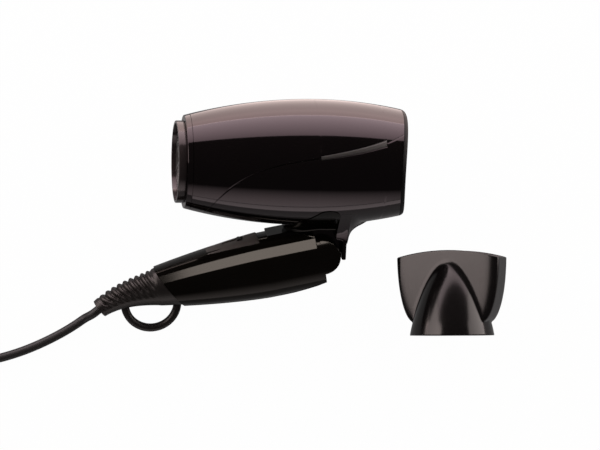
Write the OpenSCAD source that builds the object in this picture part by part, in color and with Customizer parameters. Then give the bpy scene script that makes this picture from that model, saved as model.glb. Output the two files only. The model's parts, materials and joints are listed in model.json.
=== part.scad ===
/* [Barrel] */
// Length of the barrel between its front edge and its rear edge
barrel_len = 134; // [122:1:150]
// Radius of the barrel at its front edge
front_r = 28; // [27:0.5:30]
// Radius of the barrel at its widest place
belly_r = 38; // [36:0.5:41]
// Distance from the front edge to the widest place
belly_back = 77; // [70:1:84]
// Radius of the barrel at its rear edge
rear_r = 31.6; // [29:0.2:33]
// Wall of the barrel and handle mouldings
wall = 2.2; // [1.8:0.1:2.6]
// Width of the groove where the two barrel mouldings meet
seam_w = 0.5; // [0.3:0.1:0.8]

/* [Outlet] */
// Outside radius of the outlet ring that the nozzle pushes on to
ring_r = 24.7; // [24:0.1:25.5]
// Wall of the outlet ring
ring_wall = 1.8; // [1.4:0.1:2.4]
// Length of the outlet ring in front of the barrel
ring_stand = 5; // [4:0.5:7]
// Length of the bezel at the front of the barrel
bezel_len = 3.2; // [2.4:0.2:4]
// Number of rings in the outlet grille
grille_rings = 3; // [2:1:4]
// Thickness of the outlet grille's bars
grille_bar = 1.4; // [1:0.1:2]

/* [Inlet] */
// Length of the rim at the rear of the barrel
rim_len = 4; // [3:0.5:6]
// Depth of the hollow in the rim on each side
rim_dip = 4; // [3:0.5:8]
// Number of slots in each ring of the inlet grille
inlet_slots = 16; // [12:1:20]
// Thickness of the inlet grille
inlet_t = 2; // [1.6:0.2:3]

/* [Motor and heater] */
// Radius of the motor can
motor_r = 12; // [10:0.5:13]
// Length of the motor can
motor_len = 30; // [26:1:34]
// Radius of the fan and shaft bore
shaft_r = 1.2; // [1:0.1:1.5]
// Number of fan blades
fan_blades = 7; // [5:1:9]
// Radius over the fan blades
fan_r = 27; // [24:0.5:28]
// Radius of the heater winding
heater_r = 17; // [14:0.5:18]
// Turns of the heater winding
heater_turns = 7; // [5:1:8]
// Length of the heater winding
heater_len = 38; // [34:1:42]

/* [Hinge] */
// Distance from the front edge of the barrel to the hinge axis
hinge_back = 85; // [82:0.5:88]
// Distance from the barrel axis to the hinge axis
hinge_drop = 56; // [55:0.5:58]
// Radius of the handle's round hinge end
knuckle_r = 10.7; // [10:0.1:11.2]
// Thickness of the neck's tongue between the hinge ends
tongue_t = 14; // [12:0.5:16]
// Radius of the hinge pin
pin_r = 2.5; // [2:0.1:3]
// Clearance between the hinge's sliding faces
hinge_gap = 0.3; // [0.2:0.1:0.5]
// Angle from the barrel axis to the folded handle
fold_rest = 12; // [11:0.5:14]

/* [Handle] */
// Length of the handle from the hinge axis to the cord guard, on its upper edge
handle_len = 101; // [96:1:106]
// Half height of the handle at the grip
grip_h = 19.5; // [18.5:0.1:20]
// Half height of the handle where the cord guard starts
grip_end_h = 11.8; // [11:0.1:12.5]
// Half thickness of the handle at the grip
grip_t = 16.5; // [15.5:0.1:17.5]
// Half thickness of the handle where the cord guard starts
grip_end_t = 11; // [10:0.1:12]
// Distance from the hinge axis down to the handle's middle line
grip_low = 2.3; // [2:0.1:3]

/* [Switch] */
// Length of the switch plate along the handle
plate_len = 32; // [30:1:36]
// Width of the switch plate
plate_w = 16; // [14:0.5:18]
// Height of the switch plate's moulding
plate_t = 3.5; // [3:0.1:4]
// Travel of the slider from off to full
slide_travel = 8; // [6:0.5:9]
// Width of the slider's stem
stem_w = 4; // [3:0.1:5]

/* [Cord guard and cord] */
// Length of the cord guard from the end of the handle to its tip
guard_len = 37; // [34:1:42]
// Half height of the cord guard's tip
guard_tip = 5.8; // [5:0.1:6.4]
// Number of ribs on the cord guard
guard_ribs = 9; // [7:1:11]
// Radius of the hanging loop to the middle of its bar
loop_r = 16; // [15:0.1:17]
// Radius of the hanging loop's bar
loop_bar = 2.5; // [2.2:0.1:2.8]
// Diameter of the cord
cord_d = 5.4; // [5:0.1:5.6]
// Radius of the coil's innermost turn
coil_inner = 21.6; // [21.6:0.2:24]
// Whole turns of cord in the coil
coil_turns = 7; // [5:1:8]
// Free space between turns of the coil
coil_gap = 0.6; // [0.5:0.05:0.8]
// Thickness of the tie round the coil
tie_t = 1; // [0.8:0.1:1.4]

/* [Nozzle] */
// Width of the nozzle's mouth
mouth_w = 65.4; // [60:0.2:70]
// Thickness of the nozzle's flat end
mouth_t = 19.5; // [16:0.5:22]
// Height of the nozzle at the corners of its mouth
mouth_h = 47.5; // [44:0.5:52]
// Rise of the mouth's arch between its corners
mouth_arch = 4.5; // [2:0.5:6]
// Height of the nozzle's collar
collar_h = 9.4; // [8:0.2:11]
// Wall of the nozzle
nozzle_wall = 1.2; // [1:0.1:1.6]
// Clearance between the outlet ring and the nozzle's collar
collar_gap = 0.2; // [0.1:0.05:0.3]

/* [Hidden] */
$fn = 72;

// Places along the barrel, measured from the front plane of the outlet ring
front_x = ring_stand;
belly_x = front_x + belly_back;
rear_x = front_x + barrel_len;
hinge_x = front_x + hinge_back;
front_arc = (belly_back * belly_back + pow(belly_r - front_r, 2)) / (2 * (belly_r - front_r));
rear_run = barrel_len - belly_back;
rear_arc = (rear_run * rear_run + pow(belly_r - rear_r, 2)) / (2 * (belly_r - rear_r));
fit = 0.2;
overcut = 1;
steps = 20;

// The dryer lies on its side, so that the barrel and the handle touch the floor
side_roll = 18.1;
row_shift = [-77.75, 34.44, belly_r + 0.05];

// Outer radius of the barrel at a place along it
function barrel_r(x) = x < belly_x
    ? belly_r - front_arc + sqrt(front_arc * front_arc - pow(belly_x - x, 2))
    : belly_r - rear_arc + sqrt(rear_arc * rear_arc - pow(x - belly_x, 2));

// Seam between the two barrel mouldings, as a curve seen from the side
seam_points = [[front_x + 9, -34], [front_x + 15, 7], [front_x + 61, 9.5], [rear_x, 24]];
function seam_at(t) = pow(1 - t, 3) * seam_points[0] + 3 * pow(1 - t, 2) * t * seam_points[1]
    + 3 * (1 - t) * t * t * seam_points[2] + t * t * t * seam_points[3];
trim_from = 0.712;
trim_to = 0.926;
trim_w = 3.2;
seam_from = 0.12;
seam_deep = 0.4;
trim_deep = 1;
side_reach = 2 * belly_r;

// Hinge and neck
tongue_r = knuckle_r - 1.2;
knuckle_t = grip_t - 1.5 - tongue_t / 2 - hinge_gap;
neck_w = 26;
neck_gap = 0.8;
neck_back = hinge_x + knuckle_r + neck_gap;
neck_wall = 2.6;
neck_low = -hinge_drop - 1.5;
neck_roof = -hinge_drop + knuckle_r + neck_gap;
cover_back = neck_back - 4;
neck_side = 15;
neck_rear = hinge_x + 29.5;
neck_sweep = 18;
neck_turn = neck_roof - 4.5;
cover_tip = hinge_x - 23.5;

// Section across the neck: straight sides that flare out into the barrel
flare_lean = 58;
flare_steps = 8;
flare_r = belly_r - 2 * wall;
flare_top = flare_r * [sin(flare_lean), -cos(flare_lean)];
flare_turn = [neck_side, (flare_top[1] + 2 * neck_roof) / 3];
function flare_at(t) = (1 - t) * (1 - t) * flare_top + 2 * (1 - t) * t * flare_turn + t * t * [neck_side, neck_roof];
flare_half = concat([for (i = [0 : flare_steps]) flare_at(i / flare_steps)], [[neck_side, neck_low - overcut]]);

// Handle, drawn with the hinge axis at its origin and pointing along -X
grip_start = 12;
taper_start = 33;
guard_slant = 28;
switch_back = 52;
switch_slope = 7.8;
switch_z = 15.9;
function grip_share(u) = u < taper_start ? 0 : pow((u - taper_start) / (handle_len - taper_start), 1.5);
function grip_half(u) = grip_h - (grip_h - grip_end_h) * grip_share(u);
function grip_side(u) = grip_t - (grip_t - grip_end_t) * grip_share(u);

// Ring of points round the handle at a distance from the hinge
section_n = 32;
function bulge(a, e) = sign(a) * pow(abs(a), 2 / e);
function oval(x, z, half_t, half_h, n, e = 2.5) = [for (i = [0 : n - 1])
    let (a = 360 * i / n) [x, -half_t * bulge(cos(a), e), z + half_h * bulge(sin(a), e)]];

// Cord guard, which droops towards its tip and turns the tip down
guard_end = handle_len + guard_len;
guard_droop = 6.5;
guard_start = handle_len - 20;
rib_deep = 0.9;
rib_from = handle_len + 1;
rib_to = guard_end - 2;
function guard_share(u) = max(0, (u - handle_len) / guard_len);
function guard_half(u) = u < handle_len ? grip_half(u) - 0.15
    : grip_end_h - 0.15 - (grip_end_h - guard_tip) * pow(guard_share(u), 0.8);
function guard_side(u) = u < handle_len ? grip_side(u) - 0.15
    : grip_end_t - 0.15 - (grip_end_t - guard_tip) * pow(guard_share(u), 0.8);
guard_tilt = 28;
function guard_z(u) = -grip_low - guard_droop * pow(guard_share(u), 3);
function rib_cut(u) = u < rib_from || u > rib_to ? 0
    : rib_deep * (0.5 - 0.5 * cos(360 * guard_ribs * (u - rib_from) / (rib_to - rib_from)));
guard_n = 24;
guard_rings = 6;
function guard_ring(u) = [for (i = [0 : guard_n - 1])
    let (a = 360 * i / guard_n, cut = rib_cut(u) * max(0, sin(a + 8)), tilt = guard_tilt * pow(guard_share(u), 2),
        off = (guard_half(u) - cut) * bulge(sin(a), 2.2))
    [-u - off * sin(tilt), -(guard_side(u) - cut) * bulge(cos(a), 2.2), guard_z(u) + off * cos(tilt)]];

// A place on the handle, moved to the frame of the whole part
function from_handle(p) = [hinge_x + p[0] * cos(fold_rest) - p[2] * sin(fold_rest), p[1],
    -hinge_drop + p[0] * sin(fold_rest) + p[2] * cos(fold_rest)];
function from_dryer(p) = row_shift + [p[0], p[1] * sin(side_roll) + p[2] * cos(side_roll),
    -p[1] * cos(side_roll) + p[2] * sin(side_roll)];
cord_exit = from_dryer(from_handle([-guard_end, 0, guard_z(guard_end)]));
cord_way = from_dryer(from_handle([-guard_end - cos(guard_tilt), 0, guard_z(guard_end) - sin(guard_tilt)])) - cord_exit;

// Route of the cord: a lead, the coil out of sight, and a short tail with the plug
floor_shift = [row_shift[0], row_shift[1], 0];
lead_points = [for (p = [[-52, -94.8, 4.4], [-57.5, -98.6, 3.4], [-64, -102.6, 3], [-71.5, -106.6, 3], [-80, -110.6, 3],
    [-89, -114.2, 3], [-99, -117.4, 3], [-110, -120, 3.2], [-122, -121.9, 3.6], [-135, -122.8, 4]]) floor_shift + p];
pitch = cord_d + coil_gap;
coil_low = tie_t + 0.3;
layer_z = [coil_low + cord_d / 2, coil_low + cord_d / 2 + pitch];
coil_all = coil_turns + 0.25;
coil_mid = coil_all / 2;
coil_turn_in = 0.25;
coil_outer = coil_inner + pitch * (coil_mid - coil_turn_in / 2);
coil_r = (coil_inner + coil_outer) / 2;
coil_centre = floor_shift + [-162, coil_outer - 123.2, 0];
start_angle = -90;
function coil_radius(t) = let (away = abs(t - coil_mid))
    coil_inner + pitch * (away < coil_turn_in ? away * away / (2 * coil_turn_in) : away - coil_turn_in / 2);
function coil_height(t) = let (s = (t - coil_mid) / (2 * coil_turn_in) + 0.5)
    s <= 0 ? layer_z[0] : s >= 1 ? layer_z[1]
    : layer_z[0] + (layer_z[1] - layer_z[0]) * (0.5 - 0.5 * cos(180 * s));
function coil_point(t) = let (a = start_angle - 360 * t, r = coil_radius(t))
    coil_centre + [r * cos(a), r * sin(a), coil_height(t)];
coil_steps = 24;
coil_path = [for (i = [0 : coil_steps * coil_all]) coil_point(i / coil_steps)];
coil_begin = coil_path[0];
coil_finish = coil_path[len(coil_path) - 1];
tail_run = 28;
plug_z = 8;
plug_at = [coil_finish[0], coil_finish[1] + tail_run, plug_z];
tail_points = [for (t = [0.25, 0.5, 0.75]) [coil_finish[0], coil_finish[1] + tail_run * t,
    coil_finish[2] + (plug_z - coil_finish[2]) * (0.5 - 0.5 * cos(180 * t))]];
plug_turn = 90;

// Least clear space between two stretches of the coil that are over half a turn apart
coil_clear = min([for (i = [0 : len(coil_path) - 1]) for (j = [i + coil_steps / 2 : 1 : len(coil_path) - 1])
    norm(coil_path[i] - coil_path[j])]) - cord_d;
function run_length(path) = len(path) < 2 ? 0 : [for (i = 1, sum = norm(path[1] - path[0]); i < len(path);
    i = i + 1, sum = sum + (i < len(path) ? norm(path[i] - path[i - 1]) : 0)) sum][len(path) - 2];
echo(coil_clear = coil_clear, coil_across = 2 * coil_r / cord_d);

// Nozzle, standing on its collar with the mouth up; it is then laid beside the dryer
collar_wall = 0.9;
collar_lean = 0.3;
collar_r = ring_r + collar_gap + collar_wall;
collar_bore_h = ring_stand - 0.8;
waist_r = ring_r - 1;
nozzle_turn = -29;
corner_reach = mouth_w / 2 * sin(-nozzle_turn) + mouth_t / 2 * cos(nozzle_turn);
nozzle_raise = atan((corner_reach - collar_r) / mouth_h);
nozzle_beside = barrel_len + 37;
nozzle_below = 2 * belly_r + 29.4;
nozzle_at = floor_shift + [nozzle_beside, -nozzle_below, collar_r * cos(nozzle_raise) + 0.3];
ridge_top = mouth_h - 1.8;
ridge_steps = 14;
ridge_rate = (waist_r * waist_r - mouth_t * mouth_t / 4) / (ridge_top - collar_h);
ridge_end = ridge_top + pow(mouth_t / 2 - 2, 2) / ridge_rate;
function ridge_r(z) = sqrt(max(0, mouth_t * mouth_t / 4 + ridge_rate * (ridge_top - z)));
mouth_arc = (pow(mouth_w / 2, 2) + mouth_arch * mouth_arch) / (2 * mouth_arch);

module laid() {
    translate(row_shift) rotate([side_roll - 90, 0, 0]) children();
}

module at_handle() {
    laid() translate([hinge_x, 0, -hinge_drop]) rotate([0, -fold_rest, 0]) children();
}

module at_switch() {
    at_handle() translate([-switch_back, 0, switch_z]) rotate([0, -switch_slope, 0]) children();
}

module along_barrel() {
    rotate([0, 90, 0]) children();
}

// Solid of the barrel's form between two places, set in by an amount
module barrel_solid(x0, x1, inset) {
    along_barrel() rotate_extrude()
        polygon([[0, x0], for (i = [0 : steps])
            let (x = x0 + (x1 - x0) * i / steps) [barrel_r(x) - inset, x], [0, x1]]);
}

module tube(x0, x1, outer, inner) {
    along_barrel() translate([0, 0, x0]) difference() {
        cylinder(r = outer, h = x1 - x0);
        translate([0, 0, -overcut]) cylinder(r = inner, h = x1 - x0 + 2 * overcut);
    }
}

// A side view outline made thick, the same on both sides of the middle
module side_slab(points, thick) {
    rotate([90, 0, 0]) linear_extrude(thick, center = true) polygon(points);
}

// Solid through a row of rings of points
module skin(rings) {
    n = len(rings[0]);
    last = (len(rings) - 1) * n;
    sides = [for (i = [0 : len(rings) - 2]) for (j = [0 : n - 1])
        let (a = i * n + j, b = i * n + (j + 1) % n)
        each [[a, a + n, b + n], [a, b + n, b]]];
    ends = [for (j = [1 : n - 2]) each [[0, j, j + 1], [last, last + j + 1, last + j]]];
    polyhedron([for (ring = rings) each ring], concat(sides, ends));
}

function unit(v) = v / norm(v);
function heading(path, i) = unit(path[min(i + 1, len(path) - 1)] - path[max(i - 1, 0)]);
function path_ring(path, i, r, n, way) = let (side = unit(cross([0, 0, 1], way)), rise = cross(way, side))
    [for (k = [0 : n - 1]) path[i] + r * (cos(360 * k / n) * side + sin(360 * k / n) * rise)];

// Round tube along a path, with square ends
module path_tube(path, d, n, first_way, last_way) {
    skin([for (i = [0 : len(path) - 1]) path_ring(path, i, d / 2, n,
        i == 0 ? first_way : i == len(path) - 1 ? last_way : heading(path, i))]);
}

module above_seam() {
    side_slab(concat([for (i = [0 : steps]) seam_at(i / steps)],
        [[rear_x, side_reach], [-overcut, side_reach], [-overcut, -side_reach],
         [seam_points[0][0], -side_reach]]), side_reach * 2);
}

// Band that follows the seam, with a part of its length and a width
module seam_band(t0, t1, w, deep) {
    top = [for (i = [0 : steps]) seam_at(t0 + (t1 - t0) * i / steps) + [0, w / 2]];
    low = [for (i = [0 : steps]) seam_at(t1 + (t0 - t1) * i / steps) - [0, w / 2]];
    difference() {
        intersection() {
            barrel_solid(front_x, rear_x, 0);
            side_slab(concat(top, low), side_reach * 2);
        }
        barrel_solid(front_x - overcut, rear_x + overcut, deep);
        cube([4 * rear_x, belly_r / 2, side_reach], center = true);
    }
}

// Round hollow across the rear end, whose deepest line lies on the barrel's axis
module behind_dip(x) {
    dip_half = rear_r + overcut;
    dip_r = (dip_half * dip_half + rim_dip * rim_dip) / (2 * rim_dip);
    translate([x - rim_dip + dip_r, 0, 0]) rotate([90, 0, 0]) cylinder(r = dip_r, h = 4 * rear_r, center = true, $fn = 360);
}

module housing_shell() {
    difference() {
        barrel_solid(front_x + bezel_len, rear_x - rim_len, 0);
        behind_dip(rear_x - rim_len);
        barrel_solid(front_x, rear_x, wall);
        seam_band(trim_from, trim_to, trim_w + fit, trim_deep + fit / 2);
        seam_band(seam_from, 1, seam_w, seam_deep);
    }
}

module upper_housing() {
    color("#1a1718") laid() intersection() {
        housing_shell();
        above_seam();
    }
}

// The flare, cut to an outline seen from the side
module flared(outline) {
    intersection() {
        translate([hinge_x, 0, 0]) rotate([90, 0, 90]) linear_extrude(2 * side_reach, center = true)
            polygon(concat(flare_half, [for (i = [len(flare_half) - 1 : -1 : 0]) [-flare_half[i][0], flare_half[i][1]]]));
        side_slab(outline, 2 * side_reach);
    }
}

module neck_block() {
    sweep_x = neck_rear - neck_back - neck_wall;
    difference() {
        union() {
            flared(concat([[cover_back, neck_roof], [cover_back, 0], [neck_rear, 0]],
                [for (i = [0 : flare_steps]) let (a = 90 * (1 - i / flare_steps))
                    [neck_rear - sweep_x * cos(a), neck_turn + neck_sweep * sin(a)]],
                [[neck_back + neck_wall, neck_low], [neck_back, neck_low], [neck_back, neck_roof]]));
            side_slab([[hinge_x - tongue_r, -belly_r + 4], [neck_back + overcut, -belly_r + 4],
                [neck_back + overcut, -hinge_drop + 1], [hinge_x + tongue_r, -hinge_drop],
                [hinge_x - tongue_r, -hinge_drop]], tongue_t);
            translate([hinge_x, 0, -hinge_drop]) rotate([90, 0, 0])
                cylinder(r = tongue_r, h = tongue_t, center = true);
        }
        barrel_solid(front_x, rear_x, wall / 2);
        translate([hinge_x, 0, -hinge_drop]) rotate([90, 0, 0])
            cylinder(r = pin_r + 0.05, h = neck_w + overcut, center = true);
    }
}

module lower_housing() {
    color("#1c191a") laid() union() {
        difference() {
            housing_shell();
            above_seam();
        }
        neck_block();
    }
}

module side_trims() {
    color("#8b8782") laid() seam_band(trim_from, trim_to, trim_w, trim_deep);
}

ring_step = 0.4;
module front_bezel() {
    color("#4c4648") laid() difference() {
        barrel_solid(front_x, front_x + bezel_len, 0);
        along_barrel() cylinder(r = ring_r - ring_step + fit / 2, h = rear_x);
    }
}

module outlet_ring() {
    flange_x = front_x + bezel_len;
    color("#6d6566") laid() union() {
        tube(0, ring_stand, ring_r, ring_r - ring_wall);
        tube(ring_stand, flange_x + 12, ring_r - ring_step, ring_r - ring_wall);
        tube(flange_x, flange_x + 2, front_r - wall - 0.3, ring_r - ring_wall);
    }
}

module outlet_grille() {
    grille_x = 2.5;
    step = (ring_r - ring_wall) / (grille_rings + 0.5);
    color("#3a3638") laid() union() {
        for (i = [1 : grille_rings])
            tube(grille_x, grille_x + 2, i * step + grille_bar / 2, i * step - grille_bar / 2);
        for (i = [0 : 2])
            translate([grille_x + 1, 0, 0]) rotate([60 * i, 0, 0])
                cube([2, grille_bar, 2 * (ring_r - ring_wall) - 0.1], center = true);
    }
}

module hinge_cover() {
    cover_end = cover_back - fit;
    cover_low = -belly_r - 2;
    cover_side = belly_r * sin(flare_lean);
    color("#2a2627") laid() difference() {
        intersection() {
            flared([[cover_tip, 0], [cover_tip, cover_low + 2], [cover_tip + 2, cover_low],
                [hinge_x - tongue_r, cover_low + 2], [cover_end, cover_low + 2.6], [cover_end, 0]]);
            translate([0, 0, -side_reach]) linear_extrude(side_reach) polygon([[cover_tip, -cover_side / 3],
                [cover_tip + 8, -cover_side / 2], [hinge_x - 5, -cover_side], [cover_end, -cover_side],
                [cover_end, cover_side], [hinge_x - 5, cover_side], [cover_tip + 8, cover_side / 2], [cover_tip, cover_side / 3]]);
        }
        barrel_solid(front_x, rear_x, -0.05);
        side_slab([[hinge_x - tongue_r - fit, -side_reach], [rear_x, -side_reach], [rear_x, 0],
            [hinge_x - tongue_r - fit, 0]], tongue_t + 2 * fit);
    }
}

spigot_len = 3;

// The rim's rear edge dips on both sides of the barrel
module rear_rim() {
    rim_start = rear_x - rim_len - rim_dip;
    color("#565052") laid() difference() {
        union() {
            intersection() {
                barrel_solid(rim_start - overcut, rear_x, 0);
                behind_dip(rear_x - rim_len);
            }
            along_barrel() translate([0, 0, rim_start - spigot_len])
                cylinder(r = rear_r - wall - fit / 2, h = rear_x - rim_start + spigot_len);
        }
        along_barrel() cylinder(r = rear_r - 2 * wall, h = 2 * rear_x);
        behind_dip(rear_x);
    }
}

module inlet_grille() {
    grille_x = rear_x - rim_len - rim_dip - spigot_len - inlet_t;
    grille_r = barrel_r(grille_x + inlet_t) - wall - 0.3;
    rows = [0.38, 0.62, 0.86];
    color("#3d393a") laid() along_barrel() translate([0, 0, grille_x]) difference() {
        cylinder(r = grille_r, h = inlet_t);
        for (row = rows) for (i = [0 : inlet_slots - 1])
            rotate([0, 0, 360 * i / inlet_slots]) translate([row * grille_r, 0, inlet_t / 2])
                cube([grille_r * 0.17, grille_r * row * 0.24, inlet_t + overcut], center = true);
    }
}

module inlet_filter() {
    filter_x = rear_x - rim_len - rim_dip - spigot_len - inlet_t - 1.3;
    filter_r = barrel_r(filter_x + 1) - wall - 0.4;
    color("#77716c") laid() union() {
        tube(filter_x, filter_x + 1, filter_r, filter_r - 2);
        for (i = [0 : 1]) for (k = [-3 : 3])
            translate([filter_x + 0.5, 0, 0]) rotate([90 * i, 0, 0]) translate([0, k * 7, 0])
                cube([1, 0.8, 2 * sqrt(pow(filter_r - 1, 2) - pow(k * 7, 2))], center = true);
    }
}

// Fan, motor and heater, in a row along the barrel
heater_front = 14;
motor_room = 10;
motor_x = front_x + heater_front + heater_len + motor_room;
motor_end = motor_x + motor_len;
fan_x = motor_end + 4;
fan_len = 12;
heater_x = front_x + heater_front;
shield_wall = 0.8;
shield_end = motor_x - 4;

module motor_mount() {
    cup_wall = 1.5;
    duct_x = motor_x - 3;
    duct_end = motor_end - motor_len / 3;
    duct_r = barrel_r(duct_x) - wall - 0.4;
    vane_r = duct_r - 1.6;
    color("#504a45") laid() union() {
        tube(duct_x, duct_end, duct_r, vane_r - 0.2);
        tube(motor_x, motor_x + 16, motor_r + 0.1 + cup_wall, motor_r + 0.1);
        for (i = [0 : 5])
            translate([motor_x + 8, 0, 0]) rotate([60 * i, 0, 0])
                translate([0, 0, (motor_r + cup_wall + vane_r) / 2]) rotate([0, 0, 20])
                    cube([14, 1.4, vane_r - motor_r - cup_wall + 0.6], center = true);
    }
}

module motor() {
    color("#9a9a98") laid() along_barrel() translate([0, 0, motor_x]) difference() {
        union() {
            cylinder(r = motor_r, h = motor_len);
            translate([0, 0, motor_len]) cylinder(r = motor_r / 3, h = 2);
        }
        translate([0, 0, motor_len - 12]) cylinder(r = shaft_r + 0.05, h = 14 + overcut);
    }
}

module fan_shaft() {
    color("#c8c8c8") laid() along_barrel() translate([0, 0, motor_end - 11])
        cylinder(r = shaft_r, h = 11 + 4 + fan_len);
}

module fan() {
    hub_r = 9;
    blade_pitch = 38;
    color("#4a4745") laid() along_barrel() translate([0, 0, fan_x]) difference() {
        union() {
            cylinder(r = hub_r, h = fan_len);
            for (i = [0 : fan_blades - 1])
                rotate([0, 0, 360 * i / fan_blades]) translate([(hub_r + fan_r) / 2 - 0.5, 0, fan_len / 2])
                    rotate([blade_pitch, 0, 0]) cube([fan_r - hub_r + 1, 1.3, fan_len * 1.1], center = true);
        }
        translate([0, 0, -overcut]) cylinder(r = shaft_r, h = fan_len + 2 * overcut);
    }
}

module heat_shield() {
    color("#b9a582") laid() tube(front_x + bezel_len + 12.3, shield_end, ring_r - 0.3, ring_r - 0.3 - shield_wall);
}

module heater_boards() {
    color("#c9b48c") laid() difference() {
        for (i = [0 : 2])
            translate([heater_x + heater_len / 2, 0, 0]) rotate([60 * i, 0, 0])
                cube([heater_len + 6, 0.8, 2 * (ring_r - ring_wall - fit)], center = true);
        heater_ring_cut();
    }
}

// Room in the boards' edges for the winding
module heater_ring_cut() {
    wire_room = 1.6;
    tube(heater_x + 2, heater_x + heater_len - 2, heater_r + wire_room, heater_r - wire_room);
}

module heater_winding() {
    wire_d = 1.6;
    turn_steps = 24;
    path = [for (i = [0 : heater_turns * turn_steps])
        let (a = 360 * i / turn_steps) [heater_x + 4 + (heater_len - 8) * i / (heater_turns * turn_steps),
            heater_r * cos(a), heater_r * sin(a)]];
    color("#8a7f78") laid() skin([for (i = [0 : len(path) - 1])
        let (out = unit([0, path[i][1], path[i][2]]), way = heading(path, i), up = unit(cross(way, out)))
        [for (k = [0 : 5]) path[i] + wire_d / 2 * (cos(60 * k) * out + sin(60 * k) * up)]]);
}

module thermal_cutout() {
    color("#d8d4c8") laid() translate([heater_x + heater_len / 2, 2.8, -8.5]) cube([12, 4, 7], center = true);
}

pin_len = tongue_t + 2 * (hinge_gap + knuckle_t - 2.5);
washer_r = 6;
washer_t = 1;
washer_y = tongue_t / 2 + hinge_gap + washer_t / 2;

module hinge_pin() {
    color("#b8b8b8") at_handle() rotate([90, 0, 0]) cylinder(r = pin_r, h = pin_len, center = true);
}

module hinge_washers() {
    color("#d8d8d0") at_handle() for (side = [-1, 1])
        translate([0, side * washer_y, 0]) rotate([90, 0, 0]) difference() {
            cylinder(r = washer_r, h = washer_t, center = true);
            cylinder(r = pin_r + 0.05, h = washer_t + overcut, center = true);
        }
}

// The two cheeks that carry the hinge, rounded to the handle's section
module cheeks(inner, outer) {
    intersection() {
        for (side = [-1, 1])
            translate([0, side * (inner + outer) / 2, 0]) rotate([90, 0, 0])
                linear_extrude(outer - inner, center = true) union() {
                    circle(r = knuckle_r);
                    polygon([[-grip_start - 8, grip_h - grip_low - 1.2], [-grip_start, grip_h - grip_low - 2.5],
                        [-3, knuckle_r - 0.6], [0, 0], [0, -grip_h - grip_low + 5], [-6, -grip_h - grip_low + 3.4],
                        [-grip_start - 8, -grip_h - grip_low + 1]]);
                }
        skin([for (x = [knuckle_r + overcut, -grip_start - 10]) oval(x, -grip_low, grip_t, grip_h, section_n)]);
    }
}

module handle_form(inset) {
    stations = [0, 8, 18, 28, 38, 48, 58, 68, 78, 86, 94];
    skin([for (s = stations) let (u = grip_start + s)
        oval(-u, -grip_low, grip_side(u) - inset, grip_half(u) - inset, section_n)]);
}

// Everything on the cord guard's side of the slanted joint with the handle
module guard_side_of_joint(gap) {
    translate([-handle_len + gap + 5, 0, 0]) rotate([0, -guard_slant, 0])
        translate([-2 * handle_len, -handle_len, -handle_len]) cube(2 * handle_len);
}

module switch_opening() {
    translate([-switch_back, 0, switch_z]) rotate([0, -switch_slope, 0]) {
        cube([plate_len + 2 * fit, plate_w + 2 * fit, 26], center = true);
        translate([plate_len / 2 + 2.4, 0, 4.4]) cube([5.2, plate_w, 12], center = true);
    }
}

clamp_len = 8;
flange_back = handle_len - 14.5;
clamp_back = flange_back - 0.3 - clamp_len / 2;
screw_room = 10.2;
screw_places = [[-27, -5], [clamp_len / 2 + screw_room - clamp_back, -6]];
post_r = 3.4;
screw_r = 1.4;
head_r = 2.8;
head_t = 1.4;
screw_tip = 7;
function head_seat(p) = grip_side(-p[0]) - wall - 1;

module handle_posts() {
    for (p = screw_places)
        translate([p[0], 0, p[1]]) rotate([90, 0, 0])
            cylinder(r = post_r, h = 2 * grip_side(-p[0]) - wall, center = true);
}

module handle_screw_holes() {
    for (p = screw_places)
        translate([p[0], 0, p[1]]) rotate([-90, 0, 0]) union() {
            translate([0, 0, -screw_tip - 1]) cylinder(r = screw_r + 0.05, h = 2 * grip_t);
            translate([0, 0, head_seat(p)]) cylinder(r = head_r + fit, h = grip_t);
        }
}

// Raised block behind the switch, on the handle's upper edge
block_from = 15;
block_to = 30.5;
block_rise = 1.2;
module thumb_block() {
    block_top = grip_h - grip_low + block_rise;
    side_slab([[-block_to, block_top - 5], [-block_to, block_top], [-block_from - 3, block_top],
        [-grip_start + 0.5, block_top - 3.2], [-grip_start + 0.5, block_top - 6]], plate_w);
}

module handle_shell() {
    difference() {
        union() {
            difference() {
                handle_form(0);
                translate([-wall, 0, 0]) handle_form(wall);
            }
            cheeks(tongue_t / 2 + hinge_gap, grip_t - 1.5);
            thumb_block();
            handle_posts();
        }
        guard_side_of_joint(0);
        switch_opening();
        rotate([90, 0, 0]) cylinder(r = pin_r + 0.02, h = pin_len + 0.4, center = true);
        for (side = [-1, 1])
            translate([0, side * washer_y, 0]) rotate([90, 0, 0])
                cylinder(r = washer_r + fit, h = washer_t + 0.1, center = true);
        handle_screw_holes();
    }
}

module near_half() {
    translate([-2 * handle_len, -2 * handle_len, -2 * handle_len])
        cube([4 * handle_len, 2 * handle_len, 4 * handle_len]);
}

module handle_near_shell() {
    color("#1b1919") at_handle() intersection() {
        handle_shell();
        near_half();
    }
}

module handle_far_shell() {
    color("#1b1919") at_handle() difference() {
        handle_shell();
        near_half();
    }
}

module handle_screws() {
    color("#a8a8a8") at_handle() for (p = screw_places)
        translate([p[0], head_seat(p), p[1]]) rotate([-90, 0, 0]) union() {
            cylinder(r = head_r, h = head_t);
            translate([0, 0, -head_seat(p) - screw_tip]) cylinder(r = screw_r, h = head_seat(p) + screw_tip);
        }
}

module switch_plate() {
    slot_len = slide_travel + stem_w + 0.8;
    slot_mid = 3.2;
    color("#6b6767") at_switch() difference() {
        union() {
            translate([0, 0, -plate_t / 2]) cube([plate_len, plate_w, plate_t], center = true);
            for (side = [-1, 1])
                translate([0, side * (plate_w / 2 - 0.6), -plate_t - 2.5])
                    cube([plate_len - 4, 1.2, 5], center = true);
        }
        translate([slot_mid, 0, 0]) cube([slot_len, stem_w + 0.6, 4 * plate_t], center = true);
    }
}

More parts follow.
